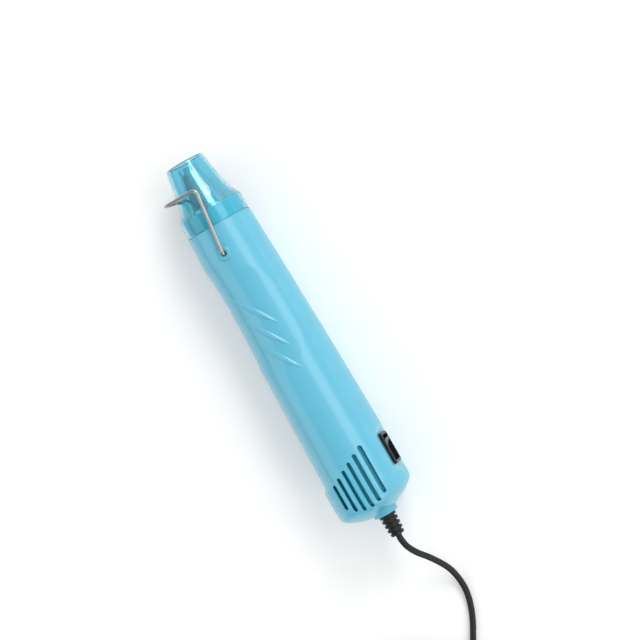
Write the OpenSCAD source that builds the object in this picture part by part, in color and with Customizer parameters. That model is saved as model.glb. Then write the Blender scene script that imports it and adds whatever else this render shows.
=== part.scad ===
// Embossing heat tool: a slim hand-held hot-air tool with a wire stand and a translucent nozzle guard.
// The pieces are drawn in the tool's own frame: x to the switch side, y out of the face, and z back
// along the axis from the guard's tip. in_tool() then lays the tool on its back, nozzle to +Y.

/* [Nozzle guard] */
// Length of the guard's cone
guard_cone_len = 32.3; // [29:0.1:36]
// Length of the straight collar behind the cone
guard_collar_len = 11; // [9:0.1:13]
// Outer radius of the guard's tip
guard_tip_r = 12.5; // [11.5:0.1:14]
// Growth of radius along the straight part of the cone
guard_taper = 5.1; // [4:0.1:6]
// Wall of the guard
guard_wall = 1.8; // [1.2:0.1:2.2]

/* [Steel barrel] */
// Distance of the steel mouth behind the guard's tip
mouth_setback = 3.5; // [2:0.1:6]
// Inner radius of the mouth
mouth_r = 5.8; // [5:0.1:6.6]
// Length of the straight lip at the mouth
lip_len = 3; // [2:0.1:5]
// Distance of the steel cone's end in front of the guard's collar
cone_back = 1.3; // [0.5:0.1:3]
// Outer radius of the straight barrel
barrel_r = 12.8; // [12.4:0.1:13]
// Sheet thickness of the barrel
barrel_wall = 0.6; // [0.4:0.1:0.8]
// Length of the straight barrel, up to its rear flange
barrel_len = 73; // [70:0.5:76]
// Radius of the barrel's rear flange
barrel_flange_r = 16.5; // [15.5:0.1:17]
// Thickness of the ring that carries the barrel in the casing
ring_t = 5; // [4:0.1:6]
// Depth of the ring inside the spigot
ring_back = 3.1; // [2:0.1:4]

/* [Heater] */
// Thickness of the mica sheets
mica_t = 0.4; // [0.3:0.05:0.6]
// Length of the mica former
former_len = 52; // [46:0.5:56]
// Radius of the heating wire
element_wire_r = 0.4; // [0.3:0.05:0.5]
// Turns of the heating wire
element_turns = 10; // [8:1:11]

/* [Casing] */
// Radius of the casing at its front edge
body_front_r = 21.4; // [21.2:0.1:22]
// Radius of the casing at its tail
body_tail_r = 26; // [25.8:0.1:27]
// Length of the casing's side, up to the middle of its tail corner
side_len = 190.6; // [188:0.2:196]
// Wall of the casing
wall = 2.2; // [1.8:0.1:2.4]
// Wall of the spigot that carries the guard
spigot_wall = 1.8; // [1.5:0.1:2.2]
// Tilt of the domed tail, down towards the switch side
tail_tilt = 6.5; // [5:0.5:8]
// Radius of the tail's dome
tail_dome_r = 39; // [36:0.5:44]
// Radius of the tail's corner
tail_corner_r = 6; // [5:0.1:7]
// Depth of the screw heads' seats from the joint line
screw_seat = 9; // [8:0.1:10]
// Radius of the screw heads
screw_head_r = 2.4; // [2:0.1:2.6]
// Width of the joint line between the two shells
joint_line = 0.2; // [0.1:0.05:0.3]

/* [Grip] */
// Depth of the thumb scoop on each face
thumb_scoop = 2.8; // [1.8:0.1:3]
// Distance of the thumb scoop's full depth behind the casing's front edge
thumb_from = 52; // [48:0.5:60]
// Length of the thumb scoop at its full depth
thumb_len = 23.6; // [20:0.2:26]
// Radius of the thumb scoop's front slope
thumb_front_r = 170; // [150:5:240]
// Radius of the thumb scoop's rear slope
thumb_rear_r = 140; // [120:5:150]
// Depth of the finger recess along the underside
finger_scoop = 1.9; // [1.2:0.1:2]
// Distance of the finger recess's full depth behind the casing's front edge
finger_from = 57; // [52:0.5:62]
// Distance of the finger recess's shoulder in front of the tail
finger_back = 19; // [16:0.5:22]
// Radius of the finger recess's front slope
finger_front_r = 206; // [180:2:230]
// Radius of the shoulder behind the finger recess
shoulder_r = 4; // [3:0.5:8]
// Height of the grip ribs
rib_h = 0.8; // [0.4:0.1:1]
// Width of a grip rib at its middle
rib_w = 2.8; // [2:0.1:3.6]
// Length of a grip rib
rib_len = 32; // [26:0.5:34]
// Distance between grip ribs along the tool
rib_pitch = 15.6; // [13:0.1:17]
// Distance of the first rib's middle behind the casing's front edge
rib_from = 57.8; // [54:0.1:62]
// Lean of the ribs from the tool's axis
rib_lean = 37; // [30:1:42]

/* [Air vents] */
// Width of a vent slot
vent_w = 2.5; // [2:0.1:3]
// Distance between vent slots
vent_pitch = 5.2; // [4.6:0.1:5.6]
// Step of the slots' front ends from one slot to the next
vent_step = 2.8; // [2:0.1:3.2]

/* [Wire stand] */
// Radius of the stand's wire
wire_r = 1; // [0.8:0.05:1.2]
// Distance of the stand's pivot behind the casing's front edge
pivot_back = 18.2; // [17:0.1:20]
// Distance of the stand's cross-bar behind the guard's tip
bar_back = 19.2; // [16:0.1:22]
// Lean of the stand's legs to the switch side, at the bend
leg_lean = 5; // [3:0.1:7]
// Radius of the stand's bends
stand_bend_r = 3; // [2.5:0.1:4]
// Outer radius of the pivot bosses
boss_r = 4; // [3.6:0.1:4.4]
// Height of the pivot bosses over the casing
boss_h = 1.1; // [0.9:0.1:1.6]
// Running clearance of the pivots, on the radius
pivot_fit = 0.06; // [0.03:0.01:0.09]
// Depth of the flared mouth of a pivot
mouth_depth = 1.2; // [0.8:0.1:1.6]
// Growth of radius at the mouth of a pivot
mouth_flare = 0.9; // [0.5:0.1:1.2]

/* [Fan and motor] */
// Radius of the fan
fan_r = 18.2; // [17:0.1:18.4]
// Number of fan blades
fan_blades = 6; // [4:1:7]
// Width of the fan along its shaft
fan_w = 9; // [7:0.5:10]
// Thickness of a fan blade
blade_t = 1.2; // [0.8:0.1:1.6]
// Radius of the fan's hub
fan_hub_r = 5.5; // [4.5:0.1:6.5]
// Length of the funnel between the housing's neck and its shroud
funnel_len = 20; // [16:0.5:24]
// Distance of the fan behind the shroud's front end
fan_lead = 8; // [6:0.5:10]
// Distance of the motor behind the fan
fan_gap = 6; // [5:0.5:8]
// Depth of the cup that holds the motor
cup_depth = 7; // [5:0.5:9]
// Inner radius of the fan housing
duct_r = 18.9; // [18.8:0.1:19]
// Wall of the fan housing
duct_wall = 1; // [0.8:0.1:1]
// Radius of the motor can
motor_r = 12; // [11:0.1:12.4]
// Length of the motor can
motor_len = 30; // [27:0.5:30]
// Length of the motor's magnets
magnet_len = 19; // [16:0.5:21]
// Thickness of the motor's magnets
magnet_t = 1.9; // [1.5:0.1:1.9]
// Length of the laminated rotor
rotor_len = 17; // [14:0.5:19]
// Radius of the motor shaft
shaft_r = 1; // [0.8:0.05:1.2]

/* [Switch] */
// Depth of the flat that carries the switch
pad_depth = 3.2; // [2.8:0.1:3.6]
// Length of the switch flange, along the tool
flange_len = 21; // [20.4:0.1:22]
// Width of the switch flange
flange_w = 15; // [14.4:0.1:16]
// Thickness of the switch flange
flange_t = 2; // [1.5:0.1:2.2]
// Depth of the switch housing under the flange
switch_depth = 11; // [9:0.5:12]
// Travel of the rocker from one side to the other
rocker_travel = 20; // [14:1:20]

/* [Cord] */
// Radius of the cord
cord_r = 2; // [1.8:0.05:2.1]
// Number of ribs round the boot
boot_ribs = 4; // [3:1:6]
// Offset of the cord from the tool's axis, to the switch side
cord_x = 1; // [0:0.1:2]
// Length of the boot outside the casing
boot_len = 14.4; // [12:0.1:20]
// Radius of the boot where it leaves the casing
boot_r = 5.5; // [5:0.1:6]
// Width of the casing's collar round the boot
tail_collar = 2.6; // [1.6:0.1:3]
// Layers of the put-away cord
coil_layers = 4; // [2:2:4]
// Turns of cord in each layer
coil_turns = 2.66667; // [1.66667:1:3.66667]
// Radius of the innermost turn
coil_r = 16.5; // [15:0.5:20]
// Distance between neighbouring turns
coil_pitch = 4.5; // [4.45:0.05:5]

/* [Plug] */
// Length of the moulded plug
plug_len = 36; // [32:1:42]
// Width of the plug's face
plug_w = 26; // [24:1:30]
// Thickness of the plug's face
plug_t = 20; // [18:1:24]
// Length of the plug's pins
pin_len = 17; // [15:0.5:19]
// Width of the plug's pins
pin_w = 6.3; // [5.5:0.1:7]
// Thickness of the plug's pins
pin_t = 1.6; // [1.2:0.1:2]
// Distance of each pin from the plug's middle
pin_spread = 7; // [6:0.1:8]

/* [Hidden] */
$fn = 64;
fit = 0.1;
seat = 0.3;
far = 60;

guard_len = guard_cone_len + guard_collar_len;
collar_r = body_front_r - 0.4;
spigot_r = collar_r - guard_wall - 0.15;
spigot_bore = spigot_r - spigot_wall;
body_front = guard_len + 0.1;
tail_s = body_front + side_len;
tail_ring = tail_s - 5;
corner_c = body_tail_r - tail_corner_r + 0.1;
dome_s = tail_s - sqrt(pow(tail_dome_r - tail_corner_r, 2) - corner_c * corner_c);
tail_boss_r = boot_r + tail_collar;
tail_boss_end = dome_s + tail_dome_r + 1.6;
boot_end = tail_boss_end + boot_len;

pivot_s = body_front + pivot_back;
boss_top = side_r(pivot_s) + boss_h;
leg_y = boss_top + 0.4 + wire_r;
bar_x = -(guard_r(bar_back) + wire_r + 0.85);
pin_end = boss_top - 8;

axis_z = max(body_tail_r, leg_y + wire_r);
tip_y = boot_end / 2;

spigot_s = body_front - guard_collar_len + 0.5;
barrel_cone_end = guard_cone_len - cone_back;
barrel_in = barrel_r - barrel_wall;
barrel_end = barrel_cone_end + barrel_len;
ring_s = spigot_s + ring_back;
sleeve_r = barrel_in - 0.5;
sleeve_s = barrel_cone_end + 7;
element_r = sleeve_r - mica_t - 0.5 - element_wire_r;
former_r = element_r - element_wire_r - 0.3;
former_s = sleeve_s + 3;
former_end = former_s + former_len;

duct_front = barrel_end + seat;
duct_out = duct_r + duct_wall;
neck_len = 8;
neck_end = duct_front + 2 + neck_len;
shroud_s = neck_end + funnel_len;
fan_s = shroud_s + fan_lead;
fan_end = fan_s + fan_w;
motor_s = fan_end + fan_gap;
shroud_end = motor_s + 2;
motor_end = motor_s + motor_len;
cap_t = 3;
board_s = motor_end + cap_t + 1.2;

switch_s = tail_s - 20.5;
pad_x = body_tail_r - pad_depth;
rocker_x = pad_x - 4.3;
rocker_half = flange_len / 2 - 3;
housing_half = flange_len / 2 - 1.1;
housing_w = flange_w - 2;
pin_r = 1;

socket_s = tail_s + 6;
screw_x = spigot_bore - 0.4;
screw_s = [body_front + 8.6, switch_s - flange_len / 2 - 5];
screw_head = 1.8;
screw_r = 1;
screw_grip = 8;
post_r = 3.6;

// The cord's free stretch, from the boot down to the table and away to its coil.
cord_route = [[1, -131.5, 26], [1, -135.5, 26], [2, -141, 25], [4.5, -147, 22], [8, -153, 17.5],
    [11, -159.5, 12.5], [13.5, -166.5, 8], [14.5, -174, 4.7], [14.5, -182, 2.8], [13, -190, 2.1],
    [10.5, -197.5, 2.1], [7, -205, 2.1], [3, -212, 2.1], [-0.5, -219.5, 2.3], [-3, -227, 2.7],
    [-4, -233, 3], [-4, -236, 3]];
// The short stretch from the coil's top turn into the plug, which lies on the coil.
lead_route = [[-38, -211.4, 17.3], [-32.5, -211.4, 19.6], [-27.3, -213.3, 22.8], [-23, -217, 25.8],
    [-20.3, -221.7, 28], [-19.5, -227, 29], [-19.5, -231.5, 29]];
coil_out = coil_r + coil_pitch * coil_turns;
cord_d = 2 * cord_r;
coil_start = cord_route[len(cord_route) - 1];
coil_centre = [coil_start[0] - coil_out, coil_start[1] - cord_d];
coil_z = coil_start[2];

// Lays the tool on its back: nozzle to +Y, switch side to +X, tail's lowest line on z = 0.
module in_tool() {
    translate([0, tip_y, axis_z]) rotate([90, 0, 0]) children();
}

// A ring or disc about the tool's axis.
module ring(r_out, r_in, s0, s1) {
    difference() {
        translate([0, 0, s0]) cylinder(r = r_out, h = s1 - s0);
        if (r_in > 0) translate([0, 0, s0 - 1]) cylinder(r = r_in, h = s1 - s0 + 2);
    }
}

// Radius of the casing's side: it swells quickly behind the nozzle and slowly towards the tail.
function side_r(s) = let (t = min(1, max(0, (s - body_front) / (tail_ring - body_front))))
    body_front_r + (body_tail_r - body_front_r) * (1 - pow(1 - t, 1.5));

// Radius of the guard's cone: a straight taper that flares into the collar.
function guard_r(s) = let (t = s / guard_cone_len)
    guard_tip_r + guard_taper * t + (collar_r - guard_tip_r - guard_taper) * pow(t, 6.3);

// Stations along the casing, closer together where the scoops start and end.
side_steps = 12;
function side_at(i) = body_front + (tail_ring - body_front) * i / side_steps;

module side_form(inset) {
    rotate_extrude() polygon(concat(
        [[0, body_front + inset]],
        [for (i = [0:side_steps]) [side_r(side_at(i)) - inset, side_at(i) + (i == 0 ? inset : 0)]],
        [[body_tail_r - inset, tail_s + far], [0, tail_s + far]]));
}

// The domed tail, tilted about the middle of its corner.
function cap_points(inset) = let (turn = asin(corner_c / (tail_dome_r - tail_corner_r))) concat(
    [for (i = [0:6]) let (a = turn * i / 6)
        [(tail_dome_r - inset) * sin(a), dome_s - tail_s + (tail_dome_r - inset) * cos(a)]],
    [for (i = [1:6]) let (a = turn + (100 - turn) * i / 6)
        [corner_c + (tail_corner_r - inset) * sin(a), (tail_corner_r - inset) * cos(a)]],
    [[far, -far / 2], [far, -tail_s], [0, -tail_s]]);

module cap_form(inset) {
    translate([0, 0, tail_s]) rotate([0, tail_tilt, 0])
        rotate_extrude() polygon(cap_points(inset));
}

// A scoop is the casing's own round, moved off the axis, and it flares out at both ends.
function flare(s, s0, s1, r0, r1) = pow(max(0, s0 - s), 2) / (2 * r0) + pow(max(0, s - s1), 2) / (2 * r1);

module scoop_form(inset, shift, grow, s0, s1, r0, r1) {
    lead_in = sqrt(14 * r0);
    run_out = sqrt(14 * r1);
    stations = concat([for (i = [0:4]) s0 - lead_in * (1 - i / 5)],
        [for (i = [0:4]) s0 + (s1 - s0) * i / 4], [for (i = [1:4]) s1 + run_out * i / 4]);
    translate([shift[0], shift[1], 0]) rotate_extrude() polygon(concat(
        [[0, 0], [far, 0]],
        [for (s = stations) [side_r(s) + grow + flare(s, s0, s1, r0, r1) - inset, s]],
        [[far, tail_s + far], [0, tail_s + far]]));
}

// The shallow scoop that the grip ribs stand in, deepest halfway from the underside to the face.
thumb_s = body_front + thumb_from;
module thumb_form(inset) {
    scoop_form(inset, [cos(45), -sin(45)] * thumb_scoop, 0, thumb_s, thumb_s + thumb_len,
        thumb_front_r, thumb_rear_r);
}

// The recess along the underside, which ends in a shoulder before the tail.
finger_shift = finger_scoop / (cos(15) - cos(60));
module finger_form(inset) {
    scoop_form(inset, [finger_shift, 0], finger_shift * cos(60), body_front + finger_from,
        tail_s - finger_back, finger_front_r, shoulder_r);
}

// The casing's form on the face's side, inset from its outer skin.
module skin(inset) {
    difference() {
        intersection() {
            side_form(inset);
            cap_form(inset);
            thumb_form(inset);
            finger_form(inset);
        }
        pad_cut(inset);
    }
}

// The flat on the switch side, with a ramp at each end.
module pad_cut(inset) {
    x = pad_x - inset;
    rotate([90, 0, 0]) translate([0, 0, -far / 2]) linear_extrude(far) polygon([
        [x, switch_s - flange_len / 2 - 1], [x, switch_s + flange_len / 2 + 1],
        [x + 6, switch_s + flange_len / 2 + 12], [far, switch_s + flange_len / 2 + 12],
        [far, switch_s - flange_len / 2 - 21], [x + 6, switch_s - flange_len / 2 - 21]]);
}

module half_space() {
    translate([-far, joint_line / 2, 0]) cube([2 * far, far, tail_s + far]);
}

// Extrudes an outline drawn in x and s along y, w wide and centred on the parting plane.
module across(w) {
    rotate([90, 0, 0]) translate([0, 0, -w / 2]) linear_extrude(w) children();
}

// Extrudes an outline drawn in x and s out of the face, from y0 up.
module outwards(y0) {
    translate([0, far, 0]) rotate([90, 0, 0]) linear_extrude(far - y0) children();
}

// A leaf outline: the overlap of two equal circles.
module leaf(length, width) {
    r = (length * length / width + width) / 4;
    intersection() {
        translate([r - width / 2, 0]) circle(r);
        translate([width / 2 - r, 0]) circle(r);
    }
}

module stadium(width, s0, s1) {
    translate([0, s0 + width / 2]) circle(width / 2);
    translate([0, s1 - width / 2]) circle(width / 2);
    translate([-width / 2, s0 + width / 2]) square([width, s1 - s0 - width]);
}

rib_x = -1.6;
module grip_ribs() {
    intersection() {
        outwards(12) for (i = [0:2]) translate([rib_x, body_front + rib_from + i * rib_pitch])
            rotate(-rib_lean) leaf(rib_len, rib_w);
        skin(-rib_h);
    }
}

// Six slots: their front ends step back in a line, and their rear ends follow the tail's dome.
vents = 6;
module vent_slots() {
    outwards(8) for (i = [0:vents - 1]) {
        x = (i - (vents - 1) / 2) * vent_pitch;
        rear = tail_s + 5.1 - pow(x - 1, 2) / 34;
        translate([x, 0]) stadium(vent_w, tail_s - 24.5 - vent_step * (i - 2.5), rear);
    }
}

// The collar round the boot, with a bevelled rim.
rim = 1;
module tail_collar_form() {
    rotate_extrude() polygon([[0, tail_s], [tail_boss_r, tail_s], [tail_boss_r, tail_boss_end - rim],
        [tail_boss_r - rim, tail_boss_end], [0, tail_boss_end]]);
}

// One moulded half: the skin, the spigot for the guard, the pivot boss and the seats inside.
module moulded_half() {
    difference() {
        union() {
            difference() {
                intersection() {
                    union() {
                        skin(0);
                        grip_ribs();
                        translate([cord_x, 0, 0]) tail_collar_form();
                    }
                    half_space();
                }
                skin(wall);
                cylinder(r = spigot_bore, h = body_front + wall + 1);
                vent_slots();
            }
            intersection() {
                union() {
                    ring(spigot_r, spigot_bore, spigot_s, body_front + wall);
                    ring(spigot_bore + 0.5, barrel_r + 2.4, ring_s - 1.7, ring_s - fit);
                    ring(spigot_bore + 0.5, barrel_r + 2.4, ring_s + ring_t + fit, ring_s + ring_t + 1.7);
                    translate([0, 0, pivot_s]) rotate([-90, 0, 0]) cylinder(r = boss_r, h = boss_top);
                }
                half_space();
                difference() {
                    cylinder(r = far, h = tail_s);
                    translate([0, 0, pivot_s - 10]) rotate([90, 0, 0])
                        translate([-10, 0, 1 - pin_end]) cube([20, 20, pin_end - 1]);
                }
            }
            intersection() {
                union() {
                    for (s = [shroud_s + 3, fan_end + 1]) ring(far, duct_out + fit, s, s + 1.6);
                    for (side = [-1, 1], s = screw_s) translate([side * screw_x, 0, s])
                        rotate([-90, 0, 0]) cylinder(r = post_r, h = far);
                    translate([cord_x, 0, socket_s]) cylinder(r = tail_boss_r, h = far);
                }
                half_space();
                skin(wall - 0.4);
            }
        }
        translate([0, pin_end - 0.3, pivot_s]) rotate([-90, 0, 0]) cylinder(r = wire_r + pivot_fit, h = far);
        translate([0, boss_top - mouth_depth, pivot_s]) rotate([-90, 0, 0])
            cylinder(r1 = wire_r + pivot_fit, r2 = wire_r + mouth_flare, h = mouth_depth + 0.01);
        translate([cord_x, 0, 0]) {
            translate([0, 0, socket_s - 1]) cylinder(r = boot_r - 0.8, h = far);
            translate([0, 0, socket_s + 1.9]) cylinder(r = boot_r + 0.8, h = 2.4);
        }
        translate([pad_x - wall - 1, -housing_w / 2 - fit, switch_s - housing_half - fit])
            cube([wall + 2, housing_w + 2 * fit, 2 * (housing_half + fit)]);
    }
}

module face_shell() {
    color([0.47, 0.8, 0.88]) in_tool() difference() {
        moulded_half();
        for (side = [-1, 1], s = screw_s) translate([side * screw_x, 0, s])
            rotate([-90, 0, 0]) cylinder(r = screw_r + 0.05, h = screw_grip + 1);
    }
}

module rear_shell() {
    color([0.47, 0.8, 0.88]) in_tool() mirror([0, 1, 0]) difference() {
        moulded_half();
        for (side = [-1, 1], s = screw_s) translate([side * screw_x, 0, s]) rotate([-90, 0, 0]) {
            translate([0, 0, -1]) cylinder(r = screw_r + 0.35, h = far);
            translate([0, 0, screw_seat]) cylinder(r = screw_head_r + 0.2, h = far);
        }
    }
}

module case_screws() {
    color("silver") in_tool() for (side = [-1, 1], s = screw_s) translate([side * screw_x, 0, s])
        rotate([-90, 0, 0]) {
            translate([0, 0, -screw_seat - screw_head - 0.05]) cylinder(r = screw_head_r, h = screw_head);
            translate([0, 0, -screw_seat - 0.1]) cylinder(r = screw_r, h = screw_seat + screw_grip);
        }
}

// Translucent plastic guard: a thin cone with a straight collar that slips over the spigot.
guard_steps = 10;
module nozzle_guard() {
    stations = [for (i = [0:guard_steps]) guard_cone_len * i / guard_steps];
    color([0.3, 0.65, 0.72, 0.5]) in_tool() rotate_extrude() polygon(concat(
        [for (s = stations) [guard_r(s), s]],
        [[collar_r, guard_len], [collar_r - guard_wall, guard_len]],
        [for (i = [guard_steps:-1:0]) [guard_r(stations[i]) - guard_wall, stations[i]]]));
}

// Spun steel: the lip and cone of the nozzle, the straight barrel and its rear flange in one piece.
module nozzle_barrel() {
    lip = mouth_setback + lip_len;
    color("gainsboro") in_tool() rotate_extrude() polygon([
        [mouth_r, mouth_setback], [mouth_r + barrel_wall, mouth_setback], [mouth_r + barrel_wall, lip],
        [barrel_r, barrel_cone_end], [barrel_r, barrel_end - 1], [barrel_flange_r, barrel_end - 1],
        [barrel_flange_r, barrel_end], [barrel_in, barrel_end], [barrel_in, barrel_cone_end],
        [mouth_r, lip]]);
}

module barrel_ring() {
    color("saddlebrown") in_tool() ring(spigot_bore - fit, barrel_r + fit, ring_s, ring_s + ring_t);
}

module mica_sleeve() {
    color("wheat") in_tool() ring(sleeve_r, sleeve_r - mica_t, sleeve_s, former_end + 3);
}

// Two slotted mica boards crossed on the axis, wider at the ends where they meet the sleeve.
module heater_former() {
    lug = sleeve_r - mica_t - fit;
    color("tan") in_tool() for (turn = [0, 90]) rotate([0, 0, turn]) union() {
        translate([-former_r, -mica_t, former_s]) cube([2 * former_r, 2 * mica_t, former_len]);
        for (s = [former_s, former_end - 2]) translate([-lug, -mica_t, s]) cube([2 * lug, 2 * mica_t, 2]);
    }
}

// A tube swept along a path: a ring of points at every path point, closed at both ends.
function unit(v) = v / norm(v);
function heading(path, i) = unit(path[min(i + 1, len(path) - 1)] - path[max(i - 1, 0)]);
function tube_points(path, r, sides, up) = [for (i = [0:len(path) - 1])
    let (ahead = heading(path, i), across = unit(cross(up, ahead)), above = cross(ahead, across))
    for (k = [0:sides - 1])
        path[i] + r * (cos(360 * k / sides) * across + sin(360 * k / sides) * above)];
function tube_faces(rings, sides) = concat(
    [for (k = [1:sides - 2]) [0, k, k + 1]],
    [for (i = [0:rings - 2], k = [0:sides - 1]) let (a = i * sides, b = (k + 1) % sides)
        [a + k, a + sides + b, a + b]],
    [for (i = [0:rings - 2], k = [0:sides - 1]) let (a = i * sides, b = (k + 1) % sides)
        [a + k, a + sides + k, a + sides + b]],
    [for (k = [1:sides - 2]) let (e = (rings - 1) * sides) [e, e + k + 1, e + k]]);
module tube(path, r, sides, up) {
    polyhedron(tube_points(path, r, sides, up), tube_faces(len(path), sides));
}

// Least distance between a tube's own turns, measured on its path's points, skip points apart.
function self_gap(path, r, skip) = min([for (i = [0:len(path) - 1 - skip])
    min([for (j = [i + skip:len(path) - 1]) norm(path[i] - path[j])])]) - 2 * r;

// The heating wire, wound along the former between its lugs.
element_rings = 16;
function element_path() = let (n = element_turns * element_rings, run = former_len - 8)
    [for (i = [0:n]) let (a = 360 * i / element_rings)
        [element_r * cos(a), element_r * sin(a), former_s + 4 + run * i / n]];
module heating_coil() {
    color("dimgray") in_tool() tube(element_path(), element_wire_r, 6, [0, 0, 1]);
}

module thermal_cutout() {
    color("white") in_tool() translate([-3, -1.6, former_end + seat]) cube([6, 3.2, 8]);
}

// One moulding: the neck behind the barrel, the fan's shroud, and a cup on four vanes for the motor.
module fan_housing() {
    neck = barrel_in + duct_wall;
    cup_r = motor_r + fit + 1.2;
    color("ivory") in_tool() union() {
        rotate_extrude() polygon([
            [barrel_in, duct_front], [barrel_flange_r + 1, duct_front], [barrel_flange_r + 1, duct_front + 2],
            [neck, duct_front + 2], [neck, neck_end], [duct_out, shroud_s], [duct_out, shroud_end],
            [duct_r, shroud_end], [duct_r, shroud_s], [barrel_in, neck_end]]);
        ring(cup_r, motor_r + fit, motor_s - 1.5, motor_s + cup_depth);
        ring(cup_r, motor_r - 3, motor_s - 1.5, motor_s - fit);
        for (turn = [45:90:315]) rotate([0, 0, turn])
            translate([cup_r - 0.5, -0.8, motor_s - 1.5]) cube([duct_r - cup_r + 1, 1.6, 3.5]);
    }
}

module fan_impeller() {
    color("whitesmoke") in_tool() difference() {
        union() {
            translate([0, 0, fan_s]) cylinder(r = fan_hub_r, h = fan_w);
            intersection() {
                for (i = [0:fan_blades - 1]) rotate([0, 0, 360 * i / fan_blades])
                    translate([fan_hub_r - 1, -blade_t / 2, fan_s + fan_w / 2]) rotate([50, 0, 0])
                        translate([0, 0, -fan_w]) cube([fan_r, blade_t, 2 * fan_w]);
                translate([0, 0, fan_s]) cylinder(r = fan_r, h = fan_w);
            }
        }
        translate([0, 0, fan_s - 1]) cylinder(r = shaft_r + 0.02, h = fan_w + 2);
    }
}

module motor_shaft() {
    color("silver") in_tool() translate([0, 0, fan_s - 2])
        cylinder(r = shaft_r, h = motor_end + cap_t - 0.8 - (fan_s - 2));
}

module motor_can() {
    bush_r = 3.2;
    bore = shaft_r + 0.05;
    color("lightsteelblue") in_tool() rotate_extrude() polygon([
        [bore, motor_s - 2.5], [bush_r, motor_s - 2.5], [bush_r, motor_s], [motor_r, motor_s],
        [motor_r, motor_end], [motor_r - 1, motor_end], [motor_r - 1, motor_s + 1],
        [bush_r, motor_s + 1], [bush_r, motor_s + 2.5], [bore, motor_s + 2.5]]);
}

magnet_in = motor_r - 1 - fit - magnet_t;
module motor_magnets() {
    color("dimgray") in_tool() for (turn = [20, 200]) rotate([0, 0, turn]) translate([0, 0, motor_s + 5])
        rotate_extrude(angle = 140) translate([magnet_in, 0]) square([magnet_t, magnet_len]);
}

// The laminated rotor with three winding slots, and the commutator behind it.
module armature() {
    rotor_r = magnet_in - 0.4;
    color("peru") in_tool() difference() {
        union() {
            difference() {
                translate([0, 0, motor_s + 6]) cylinder(r = rotor_r, h = rotor_len);
                for (turn = [0, 120, 240]) rotate([0, 0, turn]) translate([rotor_r - 3.4, -1, motor_s + 5])
                    cube([5, 2, motor_len]);
            }
            translate([0, 0, motor_end - 8]) cylinder(r = shaft_r + 1.6, h = 4);
        }
        translate([0, 0, motor_s + 4]) cylinder(r = shaft_r + 0.02, h = motor_len);
    }
}

module motor_end_cap() {
    color("dimgray") in_tool() difference() {
        union() {
            translate([0, 0, motor_end - 1.5]) cylinder(r = motor_r - 1 - fit, h = 1.6);
            translate([0, 0, motor_end + 0.05]) cylinder(r = motor_r, h = cap_t - 0.05);
        }
        translate([0, 0, motor_end - 2]) cylinder(r = shaft_r + 0.05, h = cap_t + 1.4);
    }
}

module motor_terminals() {
    color("gold") in_tool() for (side = [-1, 1]) translate([side * 7 - 1.5, -0.3, motor_end + cap_t])
        cube([3, 0.6, board_s - motor_end - cap_t]);
}

board_t = 1.4;
module rectifier_board() {
    color("green") in_tool() translate([0, 0, board_s]) cylinder(r = motor_r - 1.5, h = board_t);
}

module rectifier_diodes() {
    color([0.2, 0.2, 0.2]) in_tool() for (row = [-1, 1], side = [-1, 1])
        translate([side * 4 - 2.5, row * 3.2, board_s + 2 * board_t]) rotate([0, 90, 0])
            cylinder(r = board_t - 0.05, h = 5);
}

module switch_housing() {
    inner = housing_half - 0.8;
    inner_w = housing_w - 1.2;
    color([0.12, 0.12, 0.13]) in_tool() difference() {
        union() {
            translate([pad_x + 0.05, -flange_w / 2, switch_s - flange_len / 2])
                cube([flange_t, flange_w, flange_len]);
            translate([pad_x - switch_depth, -housing_w / 2, switch_s - housing_half])
                cube([switch_depth + 1, housing_w, 2 * housing_half]);
        }
        translate([pad_x - switch_depth + 1.5, -inner_w / 2, switch_s - inner])
            cube([far, inner_w, 2 * inner]);
        translate([rocker_x, -far / 2, switch_s]) rotate([-90, 0, 0]) cylinder(r = pin_r + 0.02, h = far);
    }
}

// The rocker's hollowed top and rounded underside, turned about its pin to its rest side.
module rocker() {
    h = rocker_half;
    rocker_w = housing_w - 1.6;
    color([0.08, 0.08, 0.09]) in_tool() translate([rocker_x, 0, switch_s]) across(rocker_w) difference() {
        rotate(rocker_travel / 2) polygon([[6, -h], [5, -h * 0.6], [4.6, -h * 0.2], [4.6, h * 0.2],
            [5, h * 0.6], [6, h], [0, h + 0.1], [-3, h * 0.6], [-4.2, 0], [-3, -h * 0.6], [0, -h - 0.1]]);
        circle(pin_r + 0.06);
    }
}

module rocker_pin() {
    color("silver") in_tool() translate([rocker_x, -housing_w / 2 + 0.1, switch_s])
        rotate([-90, 0, 0]) cylinder(r = pin_r, h = housing_w - 0.2);
}

module switch_terminals() {
    blade = 6.95;
    color("gold") in_tool() for (row = [-1, 1])
        translate([pad_x - switch_depth - 0.05 - blade, -2.4, switch_s + row * 5 - 0.4])
            cube([blade, 4.8, 0.8]);
}

// Moulded boot: a trapped flange, a neck through the casing, and a ribbed taper round the cord.
module strain_relief() {
    pitch = (boot_len - 2) / boot_ribs;
    color([0.1, 0.1, 0.11]) in_tool() translate([cord_x, 0, 0]) rotate_extrude() polygon(concat(
        [[cord_r + 0.05, socket_s], [boot_r - 0.9, socket_s], [boot_r - 0.9, socket_s + 2],
            [boot_r + 0.7, socket_s + 2], [boot_r + 0.7, socket_s + 4.2], [boot_r - 0.9, socket_s + 4.2],
            [boot_r - 0.9, tail_boss_end + 0.1], [boot_r, tail_boss_end + 0.1]],
        [for (i = [0:boot_ribs - 1], q = [[0, 1.8], [1.3, 1.8], [1.3, pitch], [0, pitch]])
            [boot_r - 0.18 * i - q[0], tail_boss_end + 0.1 + i * pitch + q[1]]],
        [[boot_r - 0.9, boot_end], [cord_r + 0.05, boot_end]]));
}

module cord_grip() {
    color("gray") in_tool() translate([cord_x, 0, 0])
        ring(cord_r + 1.8, cord_r + 0.05, socket_s - 4.3, socket_s - 0.3);
}

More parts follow.
